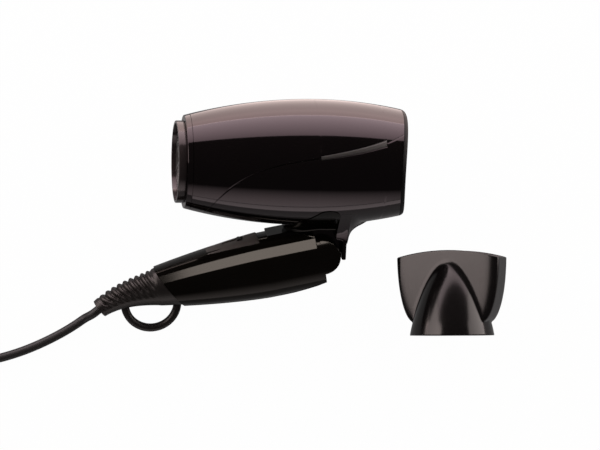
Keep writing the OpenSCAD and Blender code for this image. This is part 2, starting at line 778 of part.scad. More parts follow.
slider_x = 7.2;
nub_r = 0.9;
nub_w = plate_w - 7;
slide_gap = 0.2;
module switch_slider() {
    foot_z = -plate_t - 1.7;
    color("#2f2c2c") at_switch() translate([slider_x, 0, 0]) union() {
        translate([-stem_w / 2, -stem_w / 2, foot_z]) cube([stem_w, stem_w, 0.4 - foot_z]);
        translate([0, 0, foot_z + 0.7]) cube([12, plate_w - 6, 1.4], center = true);
        translate([0, 0, nub_r + slide_gap]) rotate([90, 0, 0]) cylinder(r = nub_r, h = nub_w, center = true);
        translate([-nub_r, -nub_w / 2, slide_gap]) cube([2 * nub_r, nub_w, nub_r]);
    }
}

module switch_body() {
    body_len = 28;
    body_h = 8.5;
    color("#4b4b50") at_switch() translate([0, 0, -plate_t - 2 - body_h / 2])
        cube([body_len, plate_w - 3, body_h], center = true);
}

loop_back = handle_len + 5.7;
loop_z = -guard_droop - 5.2;

module guard_loop() {
    translate([-loop_back, 0, loop_z]) rotate([90, 0, 0]) rotate([0, 0, 180])
        rotate_extrude(angle = 180) translate([loop_r, 0]) circle(r = loop_bar, $fn = 32);
}

module strain_relief() {
    plain = [for (i = [0 : 3]) guard_start + (rib_from - guard_start) * i / 4];
    ribbed = [for (i = [0 : guard_ribs * guard_rings]) rib_from + (rib_to - rib_from) * i / (guard_ribs * guard_rings)];
    color("#2c2b2c") at_handle() union() {
        intersection() {
            skin([for (u = concat(plain, ribbed, [guard_end])) guard_ring(u)]);
            guard_side_of_joint(-fit);
        }
        guard_loop();
        translate([-loop_back - loop_r, 0, loop_z]) cylinder(r = loop_bar, h = 6, $fn = 32);
        translate([-handle_len + 12, 0, -grip_low]) rotate([0, -90, 0]) cylinder(r = 6, h = 20);
        translate([-handle_len + 12, 0, -grip_low]) rotate([0, 90, 0]) cylinder(r = 8, h = handle_len - 12 - flange_back);
    }
}

module cord_clamp() {
    clamp_w = 2 * (grip_side(clamp_back + clamp_len / 2) - wall) - 1.4;
    clamp_h = 1.6 * (grip_end_h - wall) - 5.4;
    color("#5c5856") at_handle() translate([-clamp_back, 0, -grip_low]) difference() {
        cube([clamp_len, clamp_w, clamp_h], center = true);
        rotate([0, 90, 0]) cylinder(r = cord_d / 2, h = 2 * clamp_len, center = true);
    }
}

lead_path = concat([cord_exit, cord_exit + unit(cord_way) * cord_d], lead_points,
    [coil_begin + [cord_d, 0, 0], coil_begin]);
echo(cord_length = run_length(lead_path) + run_length(coil_path) + tail_run);

module cord_lead() {
    way = unit(cord_way);
    color("#232222") path_tube(lead_path, cord_d, 8, way, [-1, 0, 0]);
}

module cord_coil() {
    color("#232222") path_tube(coil_path, cord_d, 6, [-1, 0, 0], [0, 1, 0]);
}

module cord_tail() {
    color("#232222") path_tube(concat([coil_finish], tail_points, [plug_at]), cord_d, 8, [0, 1, 0], [0, 1, 0]);
}

module coil_tie() {
    tie_w = 10;
    tie_angle = -20;
    half_w = (coil_outer - coil_inner + cord_d) / 2 + 1.2;
    tie_h = coil_low + 2 * cord_d + coil_gap + 0.5;
    color("#3b3a3a") translate([coil_centre[0], coil_centre[1], 0]) rotate([0, 0, tie_angle])
        translate([coil_r - 0.2, 0, 0]) rotate([90, 0, 0]) linear_extrude(tie_w, center = true) difference() {
            translate([-half_w - tie_t, 0]) square([2 * half_w + 2 * tie_t, tie_h + tie_t]);
            translate([-half_w, tie_t]) square([2 * half_w, tie_h - tie_t]);
        }
}

plug_len = 34;
plug_h = 13;
module plug_body() {
    color("#262525") translate(plug_at) rotate([0, 0, plug_turn]) skin([for (s = [[0, 4.4, 4.6], [8, 6, 5.2],
            [16, 11, 6.2], [20, 15, 6.5], [plug_len, 16.5, 6.5]])
        [for (p = oval(s[0], 0, s[1], s[2], 24, 3)) [p[0], -p[1], p[2]]]]);
}

module plug_pins() {
    pin_len = 19;
    pin_apart = 18.8;
    plug_pin_r = 2.4;
    color("#c9c6bc") translate(plug_at) rotate([0, 0, plug_turn]) for (side = [-1, 1])
        translate([plug_len, side * pin_apart / 2, 0]) rotate([0, 90, 0]) union() {
            cylinder(r = plug_pin_r, h = pin_len - plug_pin_r);
            translate([0, 0, pin_len - plug_pin_r]) sphere(r = plug_pin_r);
        }
}

// Front outline of the nozzle's flat end, set in by its wall
blade_steps = 8;
foot_half = sqrt(pow(waist_r - 0.3, 2) - mouth_t * mouth_t / 4);
function blade_half(t) = foot_half + (mouth_w / 2 - foot_half) * sqrt(1 - pow(1 - t, 2.2));
module blade_outline(inset) {
    blade_h = mouth_h + mouth_arch - collar_h;
    intersection() {
        polygon([for (side = [-1, 1]) for (i = [0 : blade_steps])
            let (t = (side < 0 ? i : blade_steps - i) / blade_steps)
                [side * (blade_half(t) - inset), collar_h + blade_h * t]]);
        translate([0, mouth_h + mouth_arch - mouth_arc]) circle(r = mouth_arc + (inset > 0 ? overcut : 0), $fn = 200);
    }
}

// Flat end and round body; foot is the body's outline below the waist
module nozzle_form(inset, foot) {
    union() {
        rotate([90, 0, 0]) linear_extrude(mouth_t - 2 * inset, center = true) blade_outline(inset);
        rotate_extrude() polygon(concat(foot, [for (i = [0 : ridge_steps])
            let (z = collar_h + (ridge_end - collar_h) * i / ridge_steps) [ridge_r(z) - inset, z]], [[0, ridge_end]]));
    }
}

module nozzle() {
    bore_r = ring_r + collar_gap;
    color("#1a191a") translate(nozzle_at) rotate([nozzle_raise, 0, 0]) rotate([-90, 0, 0]) rotate([0, 0, nozzle_turn])
        difference() {
            nozzle_form(0, [[0, 0], [collar_r, 0], [collar_r - collar_lean, collar_bore_h]]);
            nozzle_form(nozzle_wall, [[0, -overcut], [bore_r, -overcut], [bore_r, collar_bore_h],
                [ring_r - ring_wall, collar_bore_h]]);
        }
}

handle_near_shell();
handle_far_shell();
handle_screws();
switch_plate();
switch_slider();
switch_body();
strain_relief();
cord_clamp();
cord_lead();
cord_coil();
cord_tail();
coil_tie();
plug_body();
plug_pins();
hinge_pin();
hinge_washers();
upper_housing();
lower_housing();
side_trims();
front_bezel();
outlet_ring();
outlet_grille();
hinge_cover();
rear_rim();
inlet_grille();
inlet_filter();
motor_mount();
motor();
fan();
fan_shaft();
heat_shield();
heater_boards();
heater_winding();
thermal_cutout();
nozzle();
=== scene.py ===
import json
import math

import bmesh
import bpy
import numpy as np
from mathutils import Matrix, Vector

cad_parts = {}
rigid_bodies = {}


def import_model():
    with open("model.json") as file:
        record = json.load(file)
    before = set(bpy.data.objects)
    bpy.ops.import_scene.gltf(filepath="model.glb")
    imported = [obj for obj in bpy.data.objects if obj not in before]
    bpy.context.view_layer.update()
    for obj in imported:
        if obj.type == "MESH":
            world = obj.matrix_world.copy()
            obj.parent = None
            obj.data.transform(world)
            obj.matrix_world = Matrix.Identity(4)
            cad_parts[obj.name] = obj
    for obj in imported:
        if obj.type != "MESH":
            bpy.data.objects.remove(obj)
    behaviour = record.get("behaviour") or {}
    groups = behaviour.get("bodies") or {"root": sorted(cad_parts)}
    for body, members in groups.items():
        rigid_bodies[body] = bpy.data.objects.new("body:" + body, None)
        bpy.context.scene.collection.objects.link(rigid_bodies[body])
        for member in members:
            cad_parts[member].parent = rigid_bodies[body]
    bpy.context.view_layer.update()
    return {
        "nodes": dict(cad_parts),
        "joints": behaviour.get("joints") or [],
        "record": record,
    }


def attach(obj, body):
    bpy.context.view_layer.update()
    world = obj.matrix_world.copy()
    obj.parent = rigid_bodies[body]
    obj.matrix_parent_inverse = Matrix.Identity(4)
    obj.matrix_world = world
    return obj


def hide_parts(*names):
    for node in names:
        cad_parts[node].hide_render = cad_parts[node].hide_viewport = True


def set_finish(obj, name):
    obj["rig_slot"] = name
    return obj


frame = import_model()
scene = bpy.context.scene
joints = {j["name"]: j for j in frame["joints"]}
mounts = {m["name"]: m for m in frame["record"]["mounts"]}
mm = 0.001
print("frame loaded:", len(frame["nodes"]), "nodes")

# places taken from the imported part
hingeAxis = Vector(joints["fold"]["axis"])
sideRoll = math.atan2(hingeAxis.y, -hingeAxis.z)
ringStand = mounts["outlet_ring"]["dims"]["length_mm"]
dryerOrigin = Vector(mounts["outlet_ring"]["pos_m"]) - Vector((ringStand / 2 * mm, 0, 0))
foldRest = 12
meshing = {"weld": 1e-7, "sharp": 35, "bevelAngle": 32, "chord": 0.3, "step": 1e-3, "upright": 0.9}


def turned(axis, degrees):
    return Matrix.Rotation(math.radians(degrees), 4, axis)


dryerFrame = Matrix.Translation(dryerOrigin) @ turned("X", math.degrees(sideRoll) - 90)
handleFrame = (Matrix.Translation(Vector(joints["fold"]["pos_m"]))
               @ turned("X", math.degrees(sideRoll) - 90) @ turned("Y", -foldRest))


def placeNew(name, data):
    made = bpy.data.objects.new(name, data)
    scene.collection.objects.link(made)
    return made


# mesh helpers, all in millimetres of a piece's own frame
def newPiece(name, verts, faces, placed, sharpAngle=meshing["sharp"]):
    mesh = bpy.data.meshes.new(name)
    points = [placed @ (Vector(v) * mm) for v in verts]
    mesh.from_pydata(points, [], faces)
    bm = bmesh.new()
    bm.from_mesh(mesh)
    bmesh.ops.remove_doubles(bm, verts=bm.verts, dist=meshing["weld"])
    bmesh.ops.dissolve_degenerate(bm, edges=bm.edges, dist=meshing["weld"])
    bmesh.ops.recalc_face_normals(bm, faces=bm.faces)
    bm.to_mesh(mesh)
    bm.free()
    mesh.polygons.foreach_set("use_smooth", [True] * len(mesh.polygons))
    mesh.set_sharp_from_angle(angle=math.radians(sharpAngle))
    return placeNew(name, mesh)


def ringFaces(count, size, caps):
    faces = []
    for i in range(count - 1):
        for j in range(size):
            a, b = i * size + j, i * size + (j + 1) % size
            faces.append((a, b, b + size, a + size))
    if caps:
        faces.append(tuple(range(size))[::-1])
        faces.append(tuple(range((count - 1) * size, count * size)))
    return faces


def skin(rings, caps=True):
    return [p for ring in rings for p in ring], ringFaces(len(rings), len(rings[0]), caps)


def loft(name, rings, placed, sharpAngle=meshing["sharp"]):
    return newPiece(name, *skin(rings), placed, sharpAngle)


def fullTurn(count):
    return [2 * math.pi * k / count for k in range(count)]


def tubeAlong(path, radius, sides):
    verts = []
    for i, p in enumerate(path):
        ahead = (Vector(path[min(i + 1, len(path) - 1)]) - Vector(path[max(i - 1, 0)])).normalized()
        side = ahead.orthogonal() if abs(ahead.y) > meshing["upright"] else ahead.cross(Vector((0, 1, 0)))
        side.normalize()
        up = ahead.cross(side)
        for a in fullTurn(sides):
            verts.append(Vector(p) + radius * (math.cos(a) * side + math.sin(a) * up))
    return verts, ringFaces(len(path), sides, True)


def smoothCurve(points, perSpan):
    pts = [Vector(p) for p in points]
    pts = [2 * pts[0] - pts[1]] + pts + [2 * pts[-1] - pts[-2]]
    out = []
    for i in range(1, len(pts) - 2):
        p0, p1, p2, p3 = pts[i - 1:i + 3]
        for k in range(perSpan):
            t = k / perSpan
            out.append(0.5 * (2 * p1 + (p2 - p0) * t + (2 * p0 - 5 * p1 + 4 * p2 - p3) * t * t
                              + (3 * p1 - p0 - 3 * p2 + p3) * t ** 3))
    return out + [pts[-2]]


def slab(name, outline, thick, placed, edgeWidth, segments=4):
    half = thick / 2
    piece = loft(name, [[(x, y, z) for x, z in outline] for y in (-half, half)], placed)
    bevel = piece.modifiers.new("rounding", "BEVEL")
    bevel.width = edgeWidth * mm
    bevel.segments = segments
    bevel.limit_method = "ANGLE"
    bevel.angle_limit = math.radians(meshing["bevelAngle"])
    bevel.harden_normals = True
    return piece


def joined(name, parts, placed, sharpAngle=meshing["sharp"]):
    verts, faces = [], []
    for partVerts, partFaces in parts:
        faces += [tuple(i + len(verts) for i in f) for f in partFaces]
        verts += [tuple(v) for v in partVerts]
    return newPiece(name, verts, faces, placed, sharpAngle)


def standFor(piece, body, slotName, *nodeNames):
    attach(piece, body)
    if nodeNames:
        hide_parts(*nodeNames)
    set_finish(piece, slotName)
    return piece


# barrel: two shells that meet on a curved seam
barrel = {"length": 134, "frontRadius": 28, "bellyRadius": 38, "bellyBack": 77, "rearRadius": 31.6, "wall": 2.2,
          "bezel": 3.2, "rim": 2.8, "rimDip": 4, "endGap": 0.15, "seamGap": 0.24, "edgeRound": 0.3,
          "rearRound": 0.08, "rearGap": 0.06, "along": 96, "around": 150}
frontX = ringStand
bellyX, rearX = frontX + barrel["bellyBack"], frontX + barrel["length"]


def arcRadius(run, drop):
    return (run * run + drop * drop) / (2 * drop)


def barrelRadius(x):
    end = barrel["frontRadius"] if x < bellyX else barrel["rearRadius"]
    run = barrel["bellyBack"] if x < bellyX else barrel["length"] - barrel["bellyBack"]
    arc = arcRadius(run, barrel["bellyRadius"] - end)
    return barrel["bellyRadius"] - arc + math.sqrt(arc * arc - (x - bellyX) ** 2)


seam = {"points": [(frontX + 9, -34), (frontX + 28.3, 21.8), (frontX + 69.2, 4.6), (rearX, 24.6)],
        "trimFrom": 0.672, "trimTo": 0.916, "trimWidth": 3.2, "trimNarrow": 2.2, "trimDeep": 1.0, "trimGap": 0.1,
        "trimEdge": 0.25, "trimSink": 0.02, "trimSteps": 60, "trimAcross": 7, "closest": 2e-4, "leastSpan": 0.02,
        "steepFrom": 0.005, "steepTo": 0.35, "steepSteps": 60, "markStep": 1e-4, "farBelow": -99,
        "lineSteps": 1500}


def seamAt(t):
    p = np.array(seam["points"], float)
    return (1 - t) ** 3 * p[0] + 3 * (1 - t) ** 2 * t * p[1] + 3 * (1 - t) * t * t * p[2] + t ** 3 * p[3]


seamLine = np.array([seamAt(t) for t in np.linspace(0, 1, seam["lineSteps"])])
trimStart, trimEnd = seamAt(seam["trimFrom"])[0], seamAt(seam["trimTo"])[0]


def seamHeight(x):
    return float(np.interp(x, seamLine[:, 0], seamLine[:, 1], left=seam["farBelow"], right=seamLine[-1, 1]))


def trimHalf(x):
    share = (x - trimStart) / (trimEnd - trimStart)
    return (seam["trimNarrow"] + (seam["trimWidth"] - seam["trimNarrow"]) * share) / 2


def seamStations(x0, x1):
    steep = np.linspace(seam["steepFrom"], seam["steepTo"], seam["steepSteps"])
    xs = set(np.linspace(x0, x1, barrel["along"])) | {seamAt(t)[0] for t in steep}
    marks = {x + way * seam["markStep"] for x in (trimStart, trimEnd) for way in (-1, 1)}
    return sorted(x for x in xs | marks if x0 <= x <= x1)


def edgeAngle(x, side):
    # side +1 is the upper shell's edge, -1 the lower one's
    r = barrelRadius(x)
    z = seamHeight(x)
    if trimStart < x < trimEnd:
        z += side * (trimHalf(x) + seam["trimGap"])
    else:
        z += side * (barrel["rearGap"] if x > trimEnd else barrel["seamGap"]) / 2
    return max(seam["closest"] - math.pi / 2, math.asin(max(-1, min(1, z / r))))


def hollowAt(z):
    # the barrel's rear end is hollowed across, deepest level with its axis
    return barrel["rimDip"] * max(0, 1 - (z / (barrel["rearRadius"] + 1)) ** 2)


def shellPoint(x, a, inset):
    z = barrelRadius(x) * math.sin(a)
    bend = max(0, (x - trimEnd - 1) / (rearX - barrel["rim"] - trimEnd - 1))
    x -= hollowAt(z) * bend
    r = barrelRadius(x) - inset
    return (x, -r * math.cos(a), r * math.sin(a))


def shellRing(x, a0, a1):
    # cross-section of a shell between two angles, with softened edges
    r, wall = barrelRadius(x), barrel["wall"]
    soft = barrel["rearRound"] if x > trimEnd else barrel["edgeRound"]
    span, chord = a1 - a0, meshing["chord"]
    c = min(soft / r, span / 3)
    angles = [a0, a0 + c * chord, a0 + c] + list(np.linspace(a0 + c, a1 - c, barrel["around"]))[1:-1]
    angles += [a1 - c, a1 - c * chord, a1]
    insets = [soft, soft * chord] + [0] * (len(angles) - 4) + [soft * chord, soft]
    return ([shellPoint(x, a, d) for a, d in zip(angles, insets)]
            + [shellPoint(x, a, wall) for a in angles[::-1]])


def shellFrom(name, rings):
    # open sections need end strips between their outer and inner lines
    size, half = len(rings[0]), len(rings[0]) // 2
    verts, faces = skin(rings, caps=False)
    for start in (0, (len(rings) - 1) * size):
        faces += [(start + i, start + i + 1, start + size - 2 - i, start + size - 1 - i)
                  for i in range(half - 1)]
    return newPiece(name, verts, faces, dryerFrame)


def buildShells():
    stations = seamStations(frontX + barrel["bezel"] + barrel["endGap"], rearX - barrel["rim"] - barrel["endGap"])
    upperRings = [shellRing(x, edgeAngle(x, 1), math.pi - edgeAngle(x, 1)) for x in stations]
    upper = shellFrom("upperShell", upperRings)
    lowStations = [x for x in stations if edgeAngle(x, -1) > seam["leastSpan"] - math.pi / 2]
    lowerRings = [shellRing(x, math.pi - edgeAngle(x, -1), 2 * math.pi + edgeAngle(x, -1)) for x in lowStations]
    lower = shellFrom("lowerShell", lowerRings)
    standFor(upper, "barrel", "gloss_shell", "upper_housing")
    standFor(lower, "barrel", "gloss_shell", "lower_housing")


def buildTrims():
    parts = []
    xs = np.linspace(trimStart + seam["trimGap"], trimEnd - seam["trimGap"], seam["trimSteps"])
    drop = [seam["trimEdge"]] + [seam["trimSink"]] * (seam["trimAcross"] - 2) + [seam["trimEdge"]]
    for mirror in (1, -1):
        rings = []
        for x in xs:
            r, z = barrelRadius(x), seamHeight(x)
            angles = [math.asin((z + h) / r) for h in np.linspace(-trimHalf(x), trimHalf(x), seam["trimAcross"])]
            outer = [(x, -mirror * (r - d) * math.cos(a), (r - d) * math.sin(a)) for a, d in zip(angles, drop)]
            low = r - seam["trimDeep"]
            inner = [(x, -mirror * low * math.cos(a), low * math.sin(a)) for a in angles[::-1]]
            rings.append(outer + inner)
        parts.append(skin(rings))
    standFor(joined("sideTrims", parts, dryerFrame), "barrel", "grey_trim", "side_trims")


buildShells()
buildTrims()
print("barrel shells and trims built")

# rings at both ends of the barrel, turned about its axis
ends = {"ring": 24.7, "ringWall": 1.8, "ringStep": 0.4, "ringBack": 12, "ringGap": 0.3, "spigot": 3, "fit": 0.1,
        "soft": 0.5, "sink": 0.02, "rimRound": 1.4, "rimSoft": 0.3, "rimSteps": 9, "bezelSteps": 6,
        "bendLead": 0.6, "bendMargin": 0.3, "cornerShare": 0.4, "sides": 240}


def softened(profile, width):
    # cuts each corner of a closed profile with two short chords
    out = []
    for i, p in enumerate(profile):
        p, before, after = Vector(p), Vector(profile[i - 1]), Vector(profile[(i + 1) % len(profile)])
        a, b = before - p, after - p
        cut = min(width, a.length * ends["cornerShare"], b.length * ends["cornerShare"])
        start, end = p + a.normalized() * cut, p + b.normalized() * cut
        out += [start, 0.25 * start + 0.5 * p + 0.25 * end, end]
    return out


def turnedRing(name, profile):
    # closed profile of (place along the barrel, radius), turned about the barrel's axis
    verts, n, sides = [], len(profile), ends["sides"]
    rimStart = rearX - barrel["rim"] - ends["bendLead"]
    for a in fullTurn(sides):
        for q in profile:
            x, r = q.x, q.y
            if x > rimStart:
                sunk = barrelRadius(x) - r
                x -= hollowAt(r * math.sin(a))
                r = barrelRadius(x) - sunk if sunk < ends["rimRound"] + ends["bendMargin"] else r
            verts.append((x, r * math.cos(a), r * math.sin(a)))
    faces = [(k * n + i, k * n + (i + 1) % n, (k + 1) % sides * n + (i + 1) % n, (k + 1) % sides * n + i)
             for k in range(sides) for i in range(n)]
    return newPiece(name, verts, faces, dryerFrame)


def buildEnds():
    e, wall, back = ends, barrel["wall"], frontX + barrel["bezel"]
    inside, stepped = e["ring"] - e["ringWall"], e["ring"] - e["ringStep"]
    ringProfile = [(0, e["ring"]), (frontX - e["ringGap"], e["ring"]), (frontX - e["ringGap"], stepped),
                   (back + e["ringBack"], stepped), (back + e["ringBack"], inside), (0, inside)]
    ring = turnedRing("outletRing", softened(ringProfile, e["soft"]))
    bezelOuter = [(x, barrelRadius(x) - e["sink"]) for x in np.linspace(frontX, back, e["bezelSteps"])]
    bezelInner = [(back, stepped + e["fit"]), (frontX, stepped + e["fit"])]
    bezel = turnedRing("frontBezel", softened(bezelOuter + bezelInner, e["soft"]))
    rimStart, inner = rearX - barrel["rim"], barrel["rearRadius"] - 2 * wall
    rimOuter = []
    for share in np.sin(np.linspace(0, math.pi / 2, e["rimSteps"])):
        x = rimStart + share * barrel["rim"]
        rimOuter.append((x, barrelRadius(x) - e["sink"] - e["rimRound"] * (1 - math.sqrt(1 - share * share))))
    spigotStart, spigotRadius = rimStart - barrel["rimDip"] - e["spigot"], barrel["rearRadius"] - wall - e["fit"]
    rimInner = [(rearX, inner), (spigotStart, inner), (spigotStart, spigotRadius), (rimStart, spigotRadius)]
    rim = turnedRing("rearRim", softened(rimOuter + rimInner, e["rimSoft"]))
    standFor(ring, "barrel", "ring_grey", "outlet_ring")
    standFor(bezel, "barrel", "ring_grey", "front_bezel")
    standFor(rim, "barrel", "ring_grey", "rear_rim")
    return bezel, rim


frontBezel, rearRim = buildEnds()
print("barrel ends built")

# hinge neck under the barrel and the cover in front of it, both flaring into the barrel
neck = {"tongue": 14, "tongueRadius": 9.5, "tongueTop": -34, "hingeX": frontX + 85, "hingeZ": -56, "back": 101.5,
        "wall": 2.6, "low": -57.5, "roof": -44.5, "side": 15, "edge": 0.8, "tongueEdge": 0.6, "leaveAt": 40,
        "proud": 0.04, "coverProud": 0.45, "clear": 1.5, "leastDrop": 0.5, "buried": 1.2, "leanStep": 0.01,
        "edgeSteps": 10, "flareSteps": 22, "rowSteps": 5, "sharp": 45}
# each row: place from the hinge axis, reach up the barrel as an angle, half width, lowest height
coverRows = [(-24.2, 16, 4, -38.6), (-23.5, 22, 8, -39.3), (-20, 30, 12, -40), (-14.5, 38, 14, -40),
             (-7.2, 50, 15, -39), (-3.6, 55, 15, -38.6), (1.1, 56, 15, -38.6), (4.9, 54, 15, -38.6),
             (6.9, 50, 15, -38.6), (7.3, 48, 14.8, -38.4)]
neckRows = [(7.5, 50, 14.8, -44.2), (7.9, 50, 15, -44.5), (11.5, 50, 15, -45.5), (14.1, 49, 15, -47.5),
            (15.4, 47, 14.6, -42.4), (17, 44, 14, -39.4), (20, 38, 13, -37.2), (24, 30, 10, -36.2),
            (29.5, 18, 4, -35.3)]


def flareTurn(r, lean, half):
    # where the barrel's tangent at this angle meets the neck's side
    return -r * math.cos(lean) - (r * math.sin(lean) - half) / math.cos(lean) * math.sin(lean)


def flareRing(row, proud, leaveAt):
    n, (place, reach, half, low) = neck, row
    x, reach, soft = n["hingeX"] + place, math.radians(reach), n["edge"]
    r, lean = barrelRadius(x) + proud, min(reach, math.radians(leaveAt))
    while flareTurn(r, lean, half) < low + n["clear"] and r * math.sin(lean) > half:
        lean -= n["leanStep"]
    deep = r - n["buried"]
    edge = [Vector((deep * math.sin(reach), -deep * math.cos(reach)))]
    edge += [Vector((r * math.sin(a), -r * math.cos(a))) for a in np.linspace(reach, lean, n["edgeSteps"]).tolist()]
    top = edge[-1]
    turn = Vector((half, max(flareTurn(r, lean, half), low + n["leastDrop"])))
    end = Vector((half, low + soft))
    side = edge + [(1 - t) ** 2 * top + 2 * (1 - t) * t * turn + t * t * end
                   for t in np.linspace(0, 1, n["flareSteps"]).tolist()[1:]]
    side += [Vector((half - soft * (1 - math.cos(a)), low + soft * (1 - math.sin(a))))
             for a in (0.5, 1.05, math.pi / 2)]
    return [(x, -q.x, q.y) for q in side] + [(x, q.x, q.y) for q in side[::-1]]


def buildNeck():
    n = neck
    blockRings = [flareRing(row, n["proud"], row[1]) for row in smoothCurve(neckRows, n["rowSteps"])]
    block = loft("neckBlock", blockRings, dryerFrame, n["sharp"])
    stripEnd, stripTop = n["back"] + n["wall"], n["roof"] + 2
    stripOutline = [(n["back"], stripTop), (stripEnd, stripTop), (stripEnd, n["low"]), (n["back"], n["low"])]
    strip = slab("neckStrip", stripOutline, 2 * n["side"], dryerFrame, n["edge"])
    coverRings = [flareRing(row, n["coverProud"], n["leaveAt"]) for row in smoothCurve(coverRows, n["rowSteps"])]
    cover = loft("hingeCover", coverRings, dryerFrame, n["sharp"])
    arc = [(n["hingeX"] + n["tongueRadius"] * math.cos(a), n["hingeZ"] + n["tongueRadius"] * math.sin(a))
           for a in np.linspace(0, -math.pi, 40)]
    tongueOutline = [(n["hingeX"] - n["tongueRadius"], n["tongueTop"]), (n["back"] + 1, n["tongueTop"]),
                     (n["back"] + 1, n["hingeZ"] + 1)] + arc
    tongue = slab("hingeTongue", tongueOutline, n["tongue"], dryerFrame, n["tongueEdge"])
    for piece in (block, strip, tongue):
        standFor(piece, "barrel", "gloss_shell")
    standFor(cover, "barrel", "satin_shell", "hinge_cover")


buildNeck()
print("neck and hinge cover built")

# handle: near and far halves of a tapered grip that end in a round hinge
grip = {"length": 101, "half": 19.5, "endHalf": 11.8, "side": 16.5, "endSide": 11, "low": 2.3, "taperStart": 33,
        "taperPower": 1.5, "plainTo": 80, "bluntness": 2.5, "knuckle": 10.7, "leastReach": 0.01, "slotHalf": 7.3,
        "slotEnd": 12, "partGap": 0.12, "edge": 0.7, "jointBack": 96, "jointSlant": 28, "facetSide": 0.883,
        "facetUp": 0.469, "facetCut": 0.33, "around": 90, "discFrom": 0.02, "discSteps": 40, "headSteps": 48,
        "bodySteps": 44, "slantSteps": 12, "sharp": 40}
gripTop = np.array([(2.3, 10.4), (2.6, 13.6), (5.5, 14.5), (9, 15.8), (13, 16.6), (17.5, 17), (30, 17.3)])
gripLow = np.array([(0, -16.8), (6, -18.4), (20, -20.8), (33, -22)])
block = {"outline": [(-30.5, 14), (-30.5, 18.3), (-18, 18.3), (-11, 17), (-6, 15.2), (-6, 12)], "width": 16,
         "round": 0.5}


def gripShare(u):
    start = grip["taperStart"]
    return 0 if u < start else ((u - start) / (grip["length"] - start)) ** grip["taperPower"]


def gripHalf(u):
    return grip["half"] - (grip["half"] - grip["endHalf"]) * gripShare(u)


def gripSide(u):
    return grip["side"] - (grip["side"] - grip["endSide"]) * gripShare(u)


def bulge(v, e):
    return math.copysign(abs(v) ** (2 / e), v)


def gripLimits(u):
    if u < 0:
        reach = math.sqrt(max(grip["knuckle"] ** 2 - u * u, grip["leastReach"]))
        return reach, -reach
    mid, half = -grip["low"], gripHalf(u)
    return (min(mid + half, float(np.interp(u, gripTop[:, 0], gripTop[:, 1]))),
            max(mid - half, float(np.interp(u, gripLow[:, 0], gripLow[:, 1]))))


def gripAngle(z, mid, half):
    share = max(-1, min(1, (z - mid) / half))
    return math.copysign(math.asin(abs(share) ** (grip["bluntness"] / 2)), share)


def faceted(arc, mid):
    # a flat band runs along each side below the upper edge
    way = (grip["facetSide"], grip["facetUp"])
    reach = [y * way[0] + (z - mid) * way[1] for y, z in arc]
    limit = max(reach) - grip["facetCut"]
    return [(y - max(0, d - limit) * way[0], z - max(0, d - limit) * way[1]) for (y, z), d in zip(arc, reach)]


def gripRing(u, mirror):
    # half of the grip's section, cut off above and below by the handle's outline
    e, mid, half, side = grip["bluntness"], -grip["low"], gripHalf(u), gripSide(u)
    top, low = gripLimits(u)
    inner = grip["slotHalf"] if u < grip["slotEnd"] else grip["partGap"] / 2
    soft, chord = min(grip["edge"], (top - low) / 4), meshing["chord"]
    angles = np.linspace(gripAngle(top - soft, mid, half), gripAngle(low + soft, mid, half), grip["around"])
    arc = [(side * bulge(math.cos(a), e), mid + half * bulge(math.sin(a), e)) for a in angles]
    if u > gripTop[0, 0]:
        arc = faceted(arc, mid)
    capTop, capLow = arc[0][0], arc[-1][0]
    tops = [(capTop - soft * chord, top - soft * chord), (capTop - soft, top), (inner, top)]
    lows = [(capLow - soft * chord, low + soft * chord), (capLow - soft, low), (inner, low)]
    points = tops[::-1] + arc + lows
    return [(-u, -mirror * max(inner, y), z) for y, z in points]


def jointPlace(z, gap=0.0):
    # the handle's far end leans over to meet the cord guard
    return grip["jointBack"] + gap + math.tan(math.radians(grip["jointSlant"])) * z


def slantedRing(makeRing, uStart, share, gap=0.0):
    # ring part of the way from a plain section to the slanted joint
    plain, out = makeRing(uStart), []
    for k in range(len(plain)):
        u = uStart
        for _ in range(4):
            u = uStart + share * (jointPlace(makeRing(u)[k][2], gap) - uStart)
        out.append(makeRing(u)[k])
    return out


def buildHandleHalf(name, mirror, node):
    start, plain, step, slot = grip["taperStart"], grip["plainTo"], meshing["step"], grip["slotEnd"]
    disc = [-grip["knuckle"] * math.cos(a) for a in np.linspace(grip["discFrom"], math.pi / 2, grip["discSteps"])]
    head, body = np.linspace(step, start, grip["headSteps"]), np.linspace(start, plain, grip["bodySteps"])
    us = sorted({*disc, -step, step, *gripTop[:2, 0], slot - step, slot + step, *head, *body})
    rings = [gripRing(u, mirror) for u in us]
    rings += [slantedRing(lambda u: gripRing(u, mirror), plain, t) for t in np.linspace(0, 1, grip["slantSteps"])[1:]]
    standFor(loft(name, rings, handleFrame, grip["sharp"]), "handle", "satin_shell", node)


def buildThumbBlock():
    piece = slab("thumbBlock", block["outline"], block["width"], handleFrame, block["round"])
    standFor(piece, "handle", "satin_shell")


buildHandleHalf("handleNear", 1, "handle_near_shell")
buildHandleHalf("handleFar", -1, "handle_far_shell")
buildThumbBlock()
print("handle built")

# switch: a crowned plate on the grip's upper edge with a rounded slider in its track
switch = {"from": 36, "to": 68, "rise": 1.1, "endRise": 0.25, "halfWidth": 9.2, "endWidth": 6, "thick": 2.4,
          "nubBack": 47.3, "nubRadius": 1.2, "nubWidth": 5, "nubTop": 18.2, "nubDeep": 1.05,
          "nubStretch": 1.3, "nubSkirt": 0.6, "nubEdge": 0.15, "nubSteps": 25, "trackFrom": 44.8, "trackTo": 57.8,
          "trackHalf": 2.8, "trackShare": 0.8, "trackFloor": 0.06, "trackSteps": 12, "besideSteps": 14, "steps": 48,
          "widthPower": 0.7, "edgeWidth": 0.6, "edgeDrop": 0.5, "endShrink": 0.5, "endOver": 0.4}


